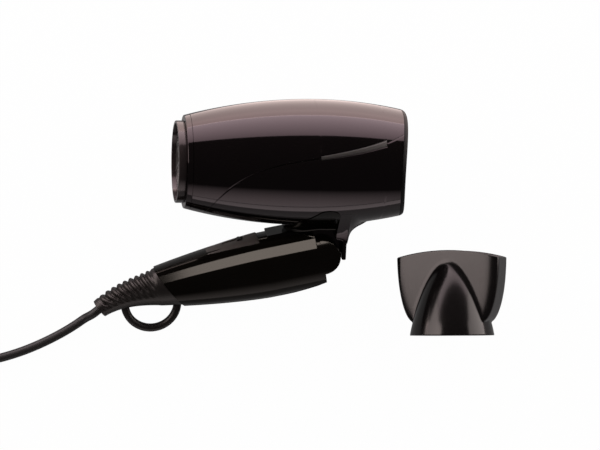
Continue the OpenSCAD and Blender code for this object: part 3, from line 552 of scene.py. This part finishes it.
def gripCrown(u, y):
    e = grip["bluntness"]
    return -grip["low"] + gripHalf(u) * (1 - (abs(y) / gripSide(u)) ** e) ** (1 / e)


def plateRing(u, shrink=0.0):
    s = switch
    share = max(0, (s["to"] - u) / (s["to"] - s["from"]))
    reach = s["endWidth"] + (s["halfWidth"] - s["endWidth"]) * share ** s["widthPower"] - shrink
    lift = s["endRise"] + (s["rise"] - s["endRise"]) * share - shrink
    track = min(s["trackHalf"], reach * s["trackShare"])
    sunk = s["trackFrom"] < u < s["trackTo"]
    beside = np.linspace(track + meshing["step"], reach, s["besideSteps"])
    upper, lower = [], []
    for y in [*-beside[::-1], *np.linspace(-track, track, s["trackSteps"]), *beside]:
        z = gripCrown(u, y)
        fall = s["edgeDrop"] * (1 - min(1, (reach - abs(y)) / s["edgeWidth"])) ** 2
        top = z + s["trackFloor"] if sunk and abs(y) <= track else z + lift - fall
        upper.append((-u, y, top))
        lower.append((-u, y, z - s["thick"]))
    return upper + lower[::-1]


def buildSwitch():
    s, step = switch, meshing["step"]
    marks = {m + d for m in (s["trackFrom"], s["trackTo"]) for d in (-step, step)}
    us = sorted(set(np.linspace(s["from"], s["to"], s["steps"])) | marks)
    rings = [plateRing(s["from"], s["endShrink"])] + [plateRing(u) for u in us[1:]]
    rings.append(plateRing(s["to"] + s["endOver"], s["endShrink"]))
    plate = loft("switchPlate", rings, handleFrame, grip["sharp"])
    standFor(plate, "handle", "grey_trim", "switch_plate")
    r, long, foot = s["nubRadius"], s["nubRadius"] * s["nubStretch"], s["nubTop"] - s["nubDeep"]
    arc = [(-s["nubBack"] + long * math.cos(a), s["nubTop"] - r + r * math.sin(a))
           for a in np.linspace(0, math.pi, s["nubSteps"])]
    arc = [(x, max(z, foot)) for x, z in arc if z > foot - s["nubSkirt"]]
    outline = [(arc[0][0], foot)] + arc[1:-1] + [(arc[-1][0], foot)]
    nub = slab("switchNub", outline, s["nubWidth"], handleFrame, s["nubEdge"], 2)
    standFor(nub, "slider", "inner_black", "switch_slider")
    return plate


switchPlate = buildSwitch()
print("switch built")

# cord guard: a ribbed sleeve whose tip turns down, with the hanging loop under it
guard = {"length": 37, "tip": 5.8, "ribs": 9, "ribDeep": 1.6, "droop": 6.5, "tilt": 28, "loopRadius": 16,
         "loopBar": 2.5, "loopBack": 106.7, "loopDrop": 11.7, "loopLeg": (6, 4, 2), "loopSteps": 60,
         "loopSides": 20, "section": 2.2, "inset": 0.15, "taperPower": 0.8, "ribPower": 1.3, "ribFade": 3,
         "ribGain": 1.8, "ribTurn": 14, "ribSteps": 14, "jointGap": 0.2, "tipRing": 0.5, "around": 72, "sharp": 50}
guardEnd = grip["length"] + guard["length"]
ribFrom, ribTo = grip["length"] + 1, guardEnd - 2


def guardShare(u):
    return max(0, (u - grip["length"]) / guard["length"])


def guardZ(u):
    return -grip["low"] - guard["droop"] * guardShare(u) ** 3


def guardSize(u, start, plain):
    if u < grip["length"]:
        return plain(u) - guard["inset"]
    return start - guard["inset"] - (start - guard["tip"]) * guardShare(u) ** guard["taperPower"]


def ribCut(u, off):
    # narrow grooves between flat ribs, leaning with the joint and fading out at both ends
    place = u - math.tan(math.radians(grip["jointSlant"])) * off
    wave = 0.5 + 0.5 * math.cos(2 * math.pi * guard["ribs"] * (place - ribFrom) / (ribTo - ribFrom))
    fade = max(0, min(1, (u - ribFrom) / guard["ribFade"], (ribTo - u) / guard["ribFade"]))
    return guard["ribDeep"] * wave ** guard["ribPower"] * fade


def guardRing(u):
    tilt = math.radians(guard["tilt"] * guardShare(u) ** 2)
    half, side = guardSize(u, grip["endHalf"], gripHalf), guardSize(u, grip["endSide"], gripSide)
    ring = []
    for a in fullTurn(guard["around"]):
        rise = half * bulge(math.sin(a), guard["section"])
        ribShare = max(0, min(1, guard["ribGain"] * math.sin(a + math.radians(guard["ribTurn"]))))
        cut = ribCut(u, rise) * ribShare
        off = (half - cut) * bulge(math.sin(a), guard["section"])
        ring.append((-u - off * math.sin(tilt), -(side - cut) * bulge(math.cos(a), guard["section"]),
                     guardZ(u) + off * math.cos(tilt)))
    return ring


def buildGuard():
    g, r = guard, guard["loopRadius"]
    rings = [slantedRing(guardRing, ribFrom, t, g["jointGap"]) for t in np.linspace(1, 0, grip["slantSteps"])[:-1]]
    rings += [guardRing(u) for u in np.linspace(ribFrom, ribTo, g["ribs"] * g["ribSteps"])]
    rings += [guardRing(guardEnd - g["tipRing"]), guardRing(guardEnd)]
    arc = [(-g["loopBack"] + r * math.cos(a), 0, -g["loopDrop"] + r * math.sin(a))
           for a in np.linspace(-math.pi, 0, g["loopSteps"])]
    leg = [(-g["loopBack"] - r, 0, -g["loopDrop"] + z) for z in g["loopLeg"]]
    hook = tubeAlong(leg + arc, g["loopBar"], g["loopSides"])
    piece = joined("cordGuard", [skin(rings), hook], handleFrame, g["sharp"])
    standFor(piece, "handle", "guard_black", "strain_relief")


buildGuard()
print("cord guard built")

# cord: a lead to the coil, the coil, and a short tail to the plug
cordRoute = {"diameter": 5.4, "inner": 21.6, "turns": 7.25, "gap": 0.6, "turnIn": 0.25, "coilX": -162,
             "coilFront": -123.2, "tie": 1.0, "lift": 0.3, "tailRun": 28, "plugZ": 8, "stepsPerTurn": 40,
             "leadSteps": 6, "bevelSteps": 6}
leadPoints = [(-52, -94.8, 4.4), (-57.5, -98.6, 3.4), (-64, -102.6, 3), (-71.5, -106.6, 3), (-80, -110.6, 3),
              (-89, -114.2, 3), (-99, -117.4, 3), (-110, -120, 3.2), (-122, -121.9, 3.6), (-135, -122.8, 4)]


def buildCord():
    c = cordRoute
    shift = Vector((dryerOrigin.x, dryerOrigin.y, 0)) / mm
    tilt = math.radians(guard["tilt"])
    exitPoint = handleFrame @ (Vector((-guardEnd, 0, guardZ(guardEnd))) * mm)
    way = (handleFrame.to_3x3() @ Vector((-math.cos(tilt), 0, -math.sin(tilt)))).normalized()
    pitch, mid = c["diameter"] + c["gap"], c["turns"] / 2
    outer = c["inner"] + pitch * (mid - c["turnIn"] / 2)
    centre = shift + Vector((c["coilX"], c["coilFront"] + outer, 0))
    lowest = c["tie"] + c["lift"] + c["diameter"] / 2
    layers = [lowest, lowest + pitch]

    def coilPoint(t):
        away = abs(t - mid)
        r = c["inner"] + pitch * (away * away / (2 * c["turnIn"]) if away < c["turnIn"] else away - c["turnIn"] / 2)
        s = min(1, max(0, (t - mid) / (2 * c["turnIn"]) + 0.5))
        z = layers[0] + (layers[1] - layers[0]) * (0.5 - 0.5 * math.cos(math.pi * s))
        a = -math.pi / 2 - 2 * math.pi * t
        return centre + Vector((r * math.cos(a), r * math.sin(a), z))

    coil = [coilPoint(i / c["stepsPerTurn"]) for i in range(int(c["turns"] * c["stepsPerTurn"]) + 1)]
    exitMm = exitPoint / mm
    lead = [exitMm, exitMm + way * c["diameter"]] + [shift + Vector(p) for p in leadPoints]
    lead += [coil[0] + Vector((c["diameter"], 0, 0)), coil[0]]
    end = coil[-1]
    tail = []
    for t in (0.25, 0.5, 0.75, 1):
        drop = (c["plugZ"] - end.z) * (0.5 - 0.5 * math.cos(math.pi * t))
        tail.append(Vector((end.x, end.y + c["tailRun"] * t, end.z + drop)))
    route = smoothCurve(lead, c["leadSteps"])[:-1] + coil + tail
    curve = bpy.data.curves.new("mainsCord", "CURVE")
    curve.dimensions = "3D"
    spline = curve.splines.new("POLY")
    spline.points.add(len(route) - 1)
    for point, p in zip(spline.points, route):
        point.co = (p.x * mm, p.y * mm, p.z * mm, 1)
        point.radius = c["diameter"] / 2 * mm
    curve.bevel_depth = 1
    curve.bevel_resolution = c["bevelSteps"]
    curve.use_fill_caps = True
    cord = placeNew("mainsCord", curve)
    standFor(cord, "handle", "cord_black", "cord_lead", "cord_coil", "cord_tail")
    length = sum((b - a).length for a, b in zip(route, route[1:])) * mm
    return cord, length, exitPoint, route[-1]


mainsCord, cordLength, cordExit, cordEnd = buildCord()
print("cord laid, length", round(cordLength, 3))


# plug: a flattened body that widens from the cord to the pins
plugRows = [(0, 4.3, 4.5), (8, 6, 5.2), (15, 10.4, 6.1), (20, 14.8, 6.5), (26, 16.3, 6.5), (32.2, 16.5, 6.5),
            (32.8, 16.2, 6.2), (33, 15.6, 5.6)]
plug = {"turn": 90, "rowSteps": 6, "sides": 64, "power": 3}


def buildPlug():
    placed = Matrix.Translation(cordEnd * mm) @ turned("Z", plug["turn"])
    rings = []
    for x, side, half in smoothCurve(plugRows, plug["rowSteps"]):
        rings.append([(x, -side * bulge(math.cos(a), plug["power"]), half * bulge(math.sin(a), plug["power"]))
                      for a in fullTurn(plug["sides"])])
    standFor(loft("plugBody", rings, placed), "handle", "plug_black", "plug_body")


buildPlug()
print("plug built")

# nozzle: a round foot that runs out into a flat mouth, with a rounded ridge on each face
nozzle = {"mouthWidth": 65.4, "mouthThick": 19.5, "mouthHeight": 47.5, "arch": 4.5, "collarHeight": 9.4,
          "wingStart": 7.8, "wingPower": 2.2, "footLean": 0.156, "footRadius": 25.8, "wall": 1.2, "waist": 23.7,
          "waistInset": 0.3, "ridgeTop": 43.2, "turn": -29, "blend": 2.4, "leastBlend": 0.05, "blendRate": 5,
          "cornerPower": 14, "edge": 0.3, "boreEdge": 0.2, "lipOut": [(0.02, 0.35), (0.15, 0.1), (0.4, 0)],
          "lipIn": [(0.4, 0), (0.15, 0.1), (0, 0.35)], "outTo": 0.985, "inFrom": 0.97, "footSteps": 12,
          "outSteps": 64, "inSteps": 32, "sides": 320, "sharp": 50}
collar = mounts["nozzle_collar"]
collarAxis = -Vector(collar["axis"])
bore = {"radius": collar["dims"]["r_mm"], "length": collar["dims"]["length_mm"]}
nozzleFoot = Vector(collar["pos_m"]) - collarAxis * bore["length"] / 2 * mm
nozzleFrame = (Matrix.Translation(nozzleFoot) @ Matrix.Rotation(math.atan2(collarAxis.z, collarAxis.y), 4, "X")
               @ turned("X", -90) @ turned("Z", nozzle["turn"]))
mouthTop = nozzle["mouthHeight"] + nozzle["arch"]
mouthArc = ((nozzle["mouthWidth"] / 2) ** 2 + nozzle["arch"] ** 2) / (2 * nozzle["arch"])
ridgeRate = (nozzle["waist"] ** 2 - nozzle["mouthThick"] ** 2 / 4) / (nozzle["ridgeTop"] - nozzle["collarHeight"])


def smoothMax(a, b, width):
    near = max(width - abs(a - b), 0) / width
    return max(a, b) + near * near * width / 4


def turnedRadius(z):
    # the round part: a skirt that leans in and runs on into the ridge
    n = nozzle
    if z < n["collarHeight"]:
        bend = (n["footRadius"] - n["waist"] - n["footLean"] * n["collarHeight"]) / n["collarHeight"] ** 2
        return n["footRadius"] - n["footLean"] * z - bend * z * z
    return math.sqrt(max(0, n["mouthThick"] ** 2 / 4 + ridgeRate * (n["ridgeTop"] - z)))


def nozzleRadius(angle, z, inset):
    n = nozzle
    t = min(1, max(0, (z - n["wingStart"]) / (mouthTop - n["wingStart"])))
    foot = math.sqrt((n["waist"] - n["waistInset"]) ** 2 - n["mouthThick"] ** 2 / 4)
    wide = foot + (n["mouthWidth"] / 2 - foot) * math.sqrt(1 - (1 - t) ** n["wingPower"]) - inset
    thick = n["mouthThick"] / 2 - inset
    flat = ((abs(math.cos(angle)) / wide) ** n["cornerPower"]
            + (abs(math.sin(angle)) / thick) ** n["cornerPower"]) ** (-1 / n["cornerPower"])
    return smoothMax(flat, turnedRadius(z) - inset, n["leastBlend"] + n["blend"] * min(1, t * n["blendRate"]))


def nozzleRing(share, inset, drop=0.0):
    n, ring = nozzle, []
    for a in fullTurn(n["sides"]):
        z = n["wingStart"] + share * (n["mouthHeight"] - n["wingStart"])
        for _ in range(3):
            x = nozzleRadius(a, z, inset) * math.cos(a)
            lip = mouthTop - mouthArc + math.sqrt(mouthArc ** 2 - min(x * x, mouthArc ** 2))
            z = n["wingStart"] + share * (lip - drop - n["wingStart"])
        r = nozzleRadius(a, z, inset)
        ring.append((r * math.cos(a), r * math.sin(a), z))
    return ring


def plainRing(r, z):
    return [(r * math.cos(a), r * math.sin(a), z) for a in fullTurn(nozzle["sides"])]


def buildNozzle():
    n, edge, inner = nozzle, nozzle["edge"], bore["radius"]
    rings = [plainRing(inner, edge), plainRing(inner + n["boreEdge"], 0), plainRing(n["footRadius"] - edge, 0)]
    rings += [plainRing(turnedRadius(z), z) for z in np.linspace(edge, n["wingStart"] - edge, n["footSteps"])]
    rings += [nozzleRing(t, 0) for t in np.linspace(0, n["outTo"], n["outSteps"])]
    rings += [nozzleRing(1, inset, drop) for inset, drop in n["lipOut"]]
    rings += [nozzleRing(1, n["wall"] - inset, drop) for inset, drop in n["lipIn"]]
    rings += [nozzleRing(t, n["wall"]) for t in np.linspace(n["inFrom"], 0, n["inSteps"])]
    rings += [plainRing(ends["ring"] - ends["ringWall"], bore["length"]), plainRing(inner, bore["length"])]
    verts, faces = skin(rings, caps=False)
    last = (len(rings) - 1) * n["sides"]
    faces += [(last + k, last + (k + 1) % n["sides"], (k + 1) % n["sides"], k) for k in range(n["sides"])]
    piece = newPiece("nozzleShell", verts, faces, nozzleFrame, n["sharp"])
    return standFor(piece, "nozzle", "nozzle_black", "nozzle")


nozzleShell = buildNozzle()
print("nozzle built")


# finishes
def linear(rgb):
    return [((c / 255 + 0.055) / 1.055) ** 2.4 if c > 10 else c / 255 / 12.92 for c in rgb]


grainLook = {"detail": 3, "markScale": 38, "markDetail": 4, "markFrom": 0.35, "markTo": 0.7}
grainSockets = {"INPUT": {"Base": "Color", "Marks": "Color", "Mark Amount": "Float", "Grain Scale": "Float",
                          "Rough Low": "Float", "Rough High": "Float"},
                "OUTPUT": {"Color": "Color", "Roughness": "Float", "Height": "Float"}}


def nodesOf(owner):
    owner.use_nodes = True
    return owner.node_tree.nodes, owner.node_tree.links.new


def setInputs(node, values):
    for name, value in values.items():
        node.inputs[name].default_value = value


def buildGrainGroup():
    # fine moulded grain with faint handling marks, in the object's own space
    tree = bpy.data.node_groups.new("mouldedGrain", "ShaderNodeTree")
    for way, names in grainSockets.items():
        for name, kind in names.items():
            tree.interface.new_socket(name=name, in_out=way, socket_type="NodeSocket" + kind)
    n, link = tree.nodes, tree.links.new
    gin, gout = n.new("NodeGroupInput"), n.new("NodeGroupOutput")
    coords = n.new("ShaderNodeTexCoord")
    fine = n.new("ShaderNodeTexNoise")
    setInputs(fine, {"Detail": grainLook["detail"]})
    broad = n.new("ShaderNodeTexNoise")
    setInputs(broad, {"Scale": grainLook["markScale"], "Detail": grainLook["markDetail"]})
    link(coords.outputs["Object"], fine.inputs["Vector"])
    link(coords.outputs["Object"], broad.inputs["Vector"])
    link(gin.outputs["Grain Scale"], fine.inputs["Scale"])
    spread = n.new("ShaderNodeMapRange")
    setInputs(spread, {"From Min": grainLook["markFrom"], "From Max": grainLook["markTo"]})
    link(broad.outputs["Fac"], spread.inputs["Value"])
    amount = n.new("ShaderNodeMath")
    amount.operation = "MULTIPLY"
    link(spread.outputs["Result"], amount.inputs[0])
    link(gin.outputs["Mark Amount"], amount.inputs[1])
    tint = n.new("ShaderNodeMix")
    tint.data_type = "RGBA"
    link(amount.outputs["Value"], tint.inputs["Factor"])
    link(gin.outputs["Base"], tint.inputs["A"])
    link(gin.outputs["Marks"], tint.inputs["B"])
    rough = n.new("ShaderNodeMapRange")
    link(broad.outputs["Fac"], rough.inputs["Value"])
    link(gin.outputs["Rough Low"], rough.inputs["To Min"])
    link(gin.outputs["Rough High"], rough.inputs["To Max"])
    link(tint.outputs["Result"], gout.inputs["Color"])
    link(rough.outputs["Result"], gout.inputs["Roughness"])
    link(fine.outputs["Fac"], gout.inputs["Height"])
    return tree


mouldedGrain = buildGrainGroup()
plainLook = {"markAmount": 0.4, "bump": 0.01, "ior": 1.45, "metallic": 0, "specular": 0.5, "tint": (1, 1, 1)}
# each finish says where it differs from the plain look
finishes = {
    "glossShell": {"base": (5, 4, 4), "marks": (9, 7, 7), "markAmount": 0.3, "grainScale": 300,
                   "rough": (0.05, 0.08), "bump": 0.0, "ior": 1.5, "tint": (1, 0.82, 0.87)},
    "satinShell": {"base": (5, 4, 3), "marks": (10, 8, 7), "grainScale": 1400, "rough": (0.1, 0.15), "bump": 0.002,
                   "ior": 1.5, "specular": 0.2, "tint": (1, 0.92, 0.86)},
    "greyTrim": {"base": (43, 41, 39), "marks": (52, 50, 47), "markAmount": 0.5, "grainScale": 1600,
                 "rough": (0.45, 0.55), "bump": 0.02},
    "plateGrey": {"base": (76, 71, 69), "marks": (84, 79, 76), "markAmount": 0.5, "grainScale": 1600,
                  "rough": (0.45, 0.55), "bump": 0.02},
    "ringGrey": {"base": (34, 30, 30), "marks": (44, 39, 38), "grainScale": 900, "rough": (0.14, 0.2),
                 "bump": 0.004, "ior": 1.5, "tint": (1, 0.86, 0.88)},
    "rimBlack": {"base": (10, 9, 9), "marks": (16, 14, 14), "grainScale": 1200, "rough": (0.4, 0.5),
                 "specular": 0.15},
    "innerBlack": {"base": (28, 26, 26), "marks": (40, 37, 36), "grainScale": 1200, "rough": (0.45, 0.6),
                   "bump": 0.02},
    "filterMesh": {"base": (92, 88, 84), "marks": (120, 114, 106), "markAmount": 0.5, "grainScale": 2000,
                   "rough": (0.6, 0.8), "bump": 0.03},
    "guardBlack": {"base": (22, 20, 19), "marks": (32, 29, 28), "markAmount": 0.5, "grainScale": 1500,
                   "rough": (0.34, 0.44), "bump": 0.03, "specular": 0.6, "tint": (1, 0.93, 0.9)},
    "cordBlack": {"base": (34, 33, 33), "marks": (46, 45, 44), "grainScale": 1200, "rough": (0.4, 0.5)},
    "plugBlack": {"base": (32, 31, 31), "marks": (44, 42, 42), "grainScale": 1300, "rough": (0.38, 0.5),
                  "bump": 0.02},
    "pinMetal": {"base": (205, 200, 190), "marks": (180, 172, 158), "markAmount": 0.5, "grainScale": 800,
                 "rough": (0.18, 0.3), "bump": 0.004, "metallic": 1.0, "ior": 1.5},
    "steel": {"base": (170, 170, 168), "marks": (140, 138, 134), "markAmount": 0.5, "grainScale": 700,
              "rough": (0.25, 0.4), "bump": 0.006, "metallic": 1.0, "ior": 1.5},
    "nylon": {"base": (120, 118, 115), "marks": (138, 135, 130), "grainScale": 900, "rough": (0.4, 0.55)},
    "mica": {"base": (196, 176, 138), "marks": (168, 146, 108), "markAmount": 0.7, "grainScale": 500,
             "rough": (0.35, 0.6), "bump": 0.02, "ior": 1.5},
    "heaterWire": {"base": (140, 132, 126), "marks": (104, 92, 84), "markAmount": 0.7, "grainScale": 700,
                   "rough": (0.35, 0.5), "bump": 0.006, "metallic": 1.0, "ior": 1.5},
    "cutoutCase": {"base": (222, 218, 206), "marks": (204, 198, 184), "grainScale": 900, "rough": (0.4, 0.5)},
    "nozzleBlack": {"base": (10, 9, 9), "marks": (17, 15, 15), "grainScale": 1500, "rough": (0.14, 0.19),
                    "bump": 0.004, "ior": 1.48, "specular": 0.58, "tint": (1, 0.94, 0.93)},
}


def makeFinish(name, own):
    look = {**plainLook, **own}
    material = bpy.data.materials.new(name)
    n, link = nodesOf(material)
    shader = n["Principled BSDF"]
    grain = n.new("ShaderNodeGroup")
    grain.node_tree = mouldedGrain
    setInputs(grain, {"Base": (*linear(look["base"]), 1), "Marks": (*linear(look["marks"]), 1),
                      "Mark Amount": look["markAmount"], "Grain Scale": look["grainScale"],
                      "Rough Low": look["rough"][0], "Rough High": look["rough"][1]})
    link(grain.outputs["Color"], shader.inputs["Base Color"])
    link(grain.outputs["Roughness"], shader.inputs["Roughness"])
    setInputs(shader, {"IOR": look["ior"], "Metallic": look["metallic"], "Specular IOR Level": look["specular"],
                       "Specular Tint": (*look["tint"], 1)})
    if look["bump"]:
        bump = n.new("ShaderNodeBump")
        setInputs(bump, {"Distance": look["bump"] * mm})
        link(grain.outputs["Height"], bump.inputs["Height"])
        link(bump.outputs["Normal"], shader.inputs["Normal"])
    return material


materials = {name: makeFinish(name, own) for name, own in finishes.items()}
slotFinish = {"gloss_shell": "glossShell", "satin_shell": "satinShell", "grey_trim": "greyTrim",
              "ring_grey": "ringGrey", "inner_black": "innerBlack", "filter_mesh": "filterMesh",
              "guard_black": "guardBlack", "cord_black": "cordBlack", "plug_black": "plugBlack",
              "pin_metal": "pinMetal", "steel": "steel", "nylon": "nylon", "mica": "mica",
              "heater_wire": "heaterWire", "cutout": "cutoutCase", "nozzle_black": "nozzleBlack"}


def dress(piece, material):
    piece.data.materials.clear()
    piece.data.materials.append(material)


nodeSlots = {s["node"]: s["material_slot"] for s in frame["record"]["subparts"]}
for nodeName, node in frame["nodes"].items():
    dress(node, materials[slotFinish[nodeSlots[nodeName]]])
for piece in list(scene.objects):
    if "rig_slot" in piece:
        dress(piece, materials[slotFinish[piece["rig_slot"]]])
dress(switchPlate, materials["plateGrey"])
dress(frontBezel, materials["glossShell"])
dress(rearRim, materials["rimBlack"])
dress(frame["nodes"]["outlet_grille"], materials["steel"])
# the nozzle stands apart from the barrel, which doesn't mirror it
nozzleShell.visible_glossy = False
print("finishes set:", len(materials))

# stage, lights and camera
stage = {"floorSize": 6.0, "floorColor": (238, 238, 238), "floorRough": 0.9, "cameraGlow": 0.985, "mirrorShare": 0.8,
         "mirrorGlow": 0.2}


def buildFloor():
    half = stage["floorSize"] / 2 / mm
    verts = [(-half, -half, 0), (half, -half, 0), (half, half, 0), (-half, half, 0)]
    floor = newPiece("studioFloor", verts, [(0, 1, 2, 3)], Matrix.Identity(4))
    paper = bpy.data.materials.new("paperFloor")
    n, link = nodesOf(paper)
    shader = n["Principled BSDF"]
    setInputs(shader, {"Base Color": (*linear(stage["floorColor"]), 1), "Roughness": stage["floorRough"]})
    glow, dimGlow = n.new("ShaderNodeEmission"), n.new("ShaderNodeEmission")
    setInputs(dimGlow, {"Strength": stage["mirrorGlow"]})
    path = n.new("ShaderNodeLightPath")
    indirect = n.new("ShaderNodeMath")
    indirect.operation = "MAXIMUM"
    link(path.outputs["Is Glossy Ray"], indirect.inputs[0])
    link(path.outputs["Is Transmission Ray"], indirect.inputs[1])
    surface = shader.outputs["BSDF"]
    for ray, share, light in ((path.outputs["Is Camera Ray"], stage["cameraGlow"], glow),
                              (indirect.outputs["Value"], stage["mirrorShare"], dimGlow)):
        amount = n.new("ShaderNodeMath")
        amount.operation = "MULTIPLY"
        setInputs(amount, {1: share})
        link(ray, amount.inputs[0])
        mix = n.new("ShaderNodeMixShader")
        link(amount.outputs["Value"], mix.inputs["Fac"])
        link(surface, mix.inputs[1])
        link(light.outputs["Emission"], mix.inputs[2])
        surface = mix.outputs["Shader"]
    link(surface, n["Material Output"].inputs["Surface"])
    dress(floor, paper)


sideGrade = {"axis": "X", "from": 0.2, "to": 0.8, "start": 1, "end": 1.6}
lightRig = {
    "keyPanel": {"centre": (0, 1.0, 0.465), "size": (2.6, 0.93), "radiance": 2.1, "color": (1, 0.86, 0.89),
                 "skip": ["handleNear", "thumbBlock"],
                 "grade": {"axis": "Y", "from": 0, "to": 1, "start": 0.88, "end": 2.22}},
    "backGlow": {"centre": (0, 0.54, 0.012), "size": (2.6, 0.92), "radiance": 3.8, "color": (1, 0.8, 0.75),
                 "up": True, "grade": {"axis": "Y", "from": 0, "to": 0.16, "start": 0.48, "end": 0.98}},
    "leftPanel": {"centre": (-1.3, 0.45, 0.5), "size": (2.1, 1.0), "radiance": 2.2, "color": (1, 0.9, 0.87),
                  "grade": sideGrade},
    "rightPanel": {"centre": (1.3, 0.45, 0.5), "size": (2.1, 1.0), "radiance": 2.2, "color": (1, 0.93, 0.9),
                   "grade": sideGrade},
    "bandPanel": {"centre": (-0.1, 0.357, 1.17), "size": (0.8, 0.36), "radiance": 8.8, "color": (1, 0.94, 0.88),
                  "only": ["handleNear"], "aim": (-0.038, -0.026, 0.034)},
    "nearGlow": {"centre": (0.1, -0.7, 0.012), "size": (2.6, 1.0), "radiance": 1.0, "color": (1, 0.93, 0.92),
                 "up": True, "only": ["upperShell", "lowerShell", "neckBlock"]},
}
sky = {"base": 0.05, "frontGlow": 1.2, "frontFrom": -0.8, "color": (1, 0.93, 0.92, 1)}


def gradeLamp(lamp, grade):
    # brightness changes from one edge of the panel to the other
    n, link = nodesOf(lamp)
    place, parts, ramp = n.new("ShaderNodeNewGeometry"), n.new("ShaderNodeSeparateXYZ"), n.new("ShaderNodeMapRange")
    setInputs(ramp, {"From Min": grade["from"], "From Max": grade["to"], "To Min": grade["start"],
                     "To Max": grade["end"]})
    link(place.outputs["Parametric"], parts.inputs["Vector"])
    link(parts.outputs[grade["axis"]], ramp.inputs["Value"])
    link(ramp.outputs["Result"], n["Emission"].inputs["Strength"])


def linkedPieces(name, pieceNames, state):
    pieces = bpy.data.collections.new(name)
    for pieceName in pieceNames:
        pieces.objects.link(bpy.data.objects[pieceName])
    for member in pieces.collection_objects:
        member.light_linking.link_state = state
    return pieces


def buildLights():
    for name, look in lightRig.items():
        lamp = bpy.data.lights.new(name, "AREA")
        lamp.shape = "RECTANGLE"
        lamp.size, lamp.size_y = look["size"]
        lamp.energy = look["radiance"] * math.pi * lamp.size * lamp.size_y
        lamp.color = look["color"]
        if "grade" in look:
            gradeLamp(lamp, look["grade"])
        panel = placeNew(name, lamp)
        centre = Vector(look["centre"])
        facing = Vector((0, 0, 1)) if look.get("up") else Vector((-centre.x, 0 if centre.x else -centre.y, 0))
        if "aim" in look:
            facing = Vector(look["aim"]) - centre
        for key, state in (("only", "INCLUDE"), ("skip", "EXCLUDE")):
            if key in look:
                panel.light_linking.receiver_collection = linkedPieces(name, look[key], state)
        panel.location = centre
        panel.rotation_euler = facing.to_track_quat("-Z", "Y" if look.get("up") else "Z").to_euler()
        panel.visible_camera = False
    buildSky()


def buildSky():
    # dark overhead, with a soft rise towards the near side
    world = bpy.data.worlds.new("studio")
    n, link = nodesOf(world)
    coords, parts, rise = n.new("ShaderNodeTexCoord"), n.new("ShaderNodeSeparateXYZ"), n.new("ShaderNodeMapRange")
    setInputs(rise, {"From Min": sky["frontFrom"], "From Max": -1, "To Min": sky["base"],
                     "To Max": sky["frontGlow"]})
    link(coords.outputs["Generated"], parts.inputs["Vector"])
    link(parts.outputs["Y"], rise.inputs["Value"])
    link(rise.outputs["Result"], n["Background"].inputs["Strength"])
    setInputs(n["Background"], {"Color": sky["color"]})
    scene.world = world


photo = {"width": 600, "centreX": 75.5, "centreY": -37.95, "pixelsPerMm": 1.66, "distance": 1.8, "yaw": 8,
         "sensor": 36}


def buildCamera():
    p = photo
    data = bpy.data.cameras.new("photoCamera")
    data.sensor_width = p["sensor"]
    data.lens = p["sensor"] * p["distance"] / (p["width"] / p["pixelsPerMm"] * mm)
    camera = placeNew("photoCamera", data)
    yaw = math.radians(p["yaw"])
    target = dryerOrigin + Vector((p["centreX"] * mm, p["centreY"] * mm, 0))
    back = Vector((-math.sin(yaw), 0, math.cos(yaw)))
    camera.location = target + back * p["distance"]
    right, up = Vector((math.cos(yaw), 0, math.sin(yaw))), Vector((0, 1, 0))
    camera.rotation_euler = Matrix((right, up, back)).transposed().to_euler()
    scene.camera = camera


buildFloor()
buildLights()
buildCamera()
scene.view_settings.view_transform = "Standard"
print("stage, lights and camera set")

bpy.context.view_layer.update()
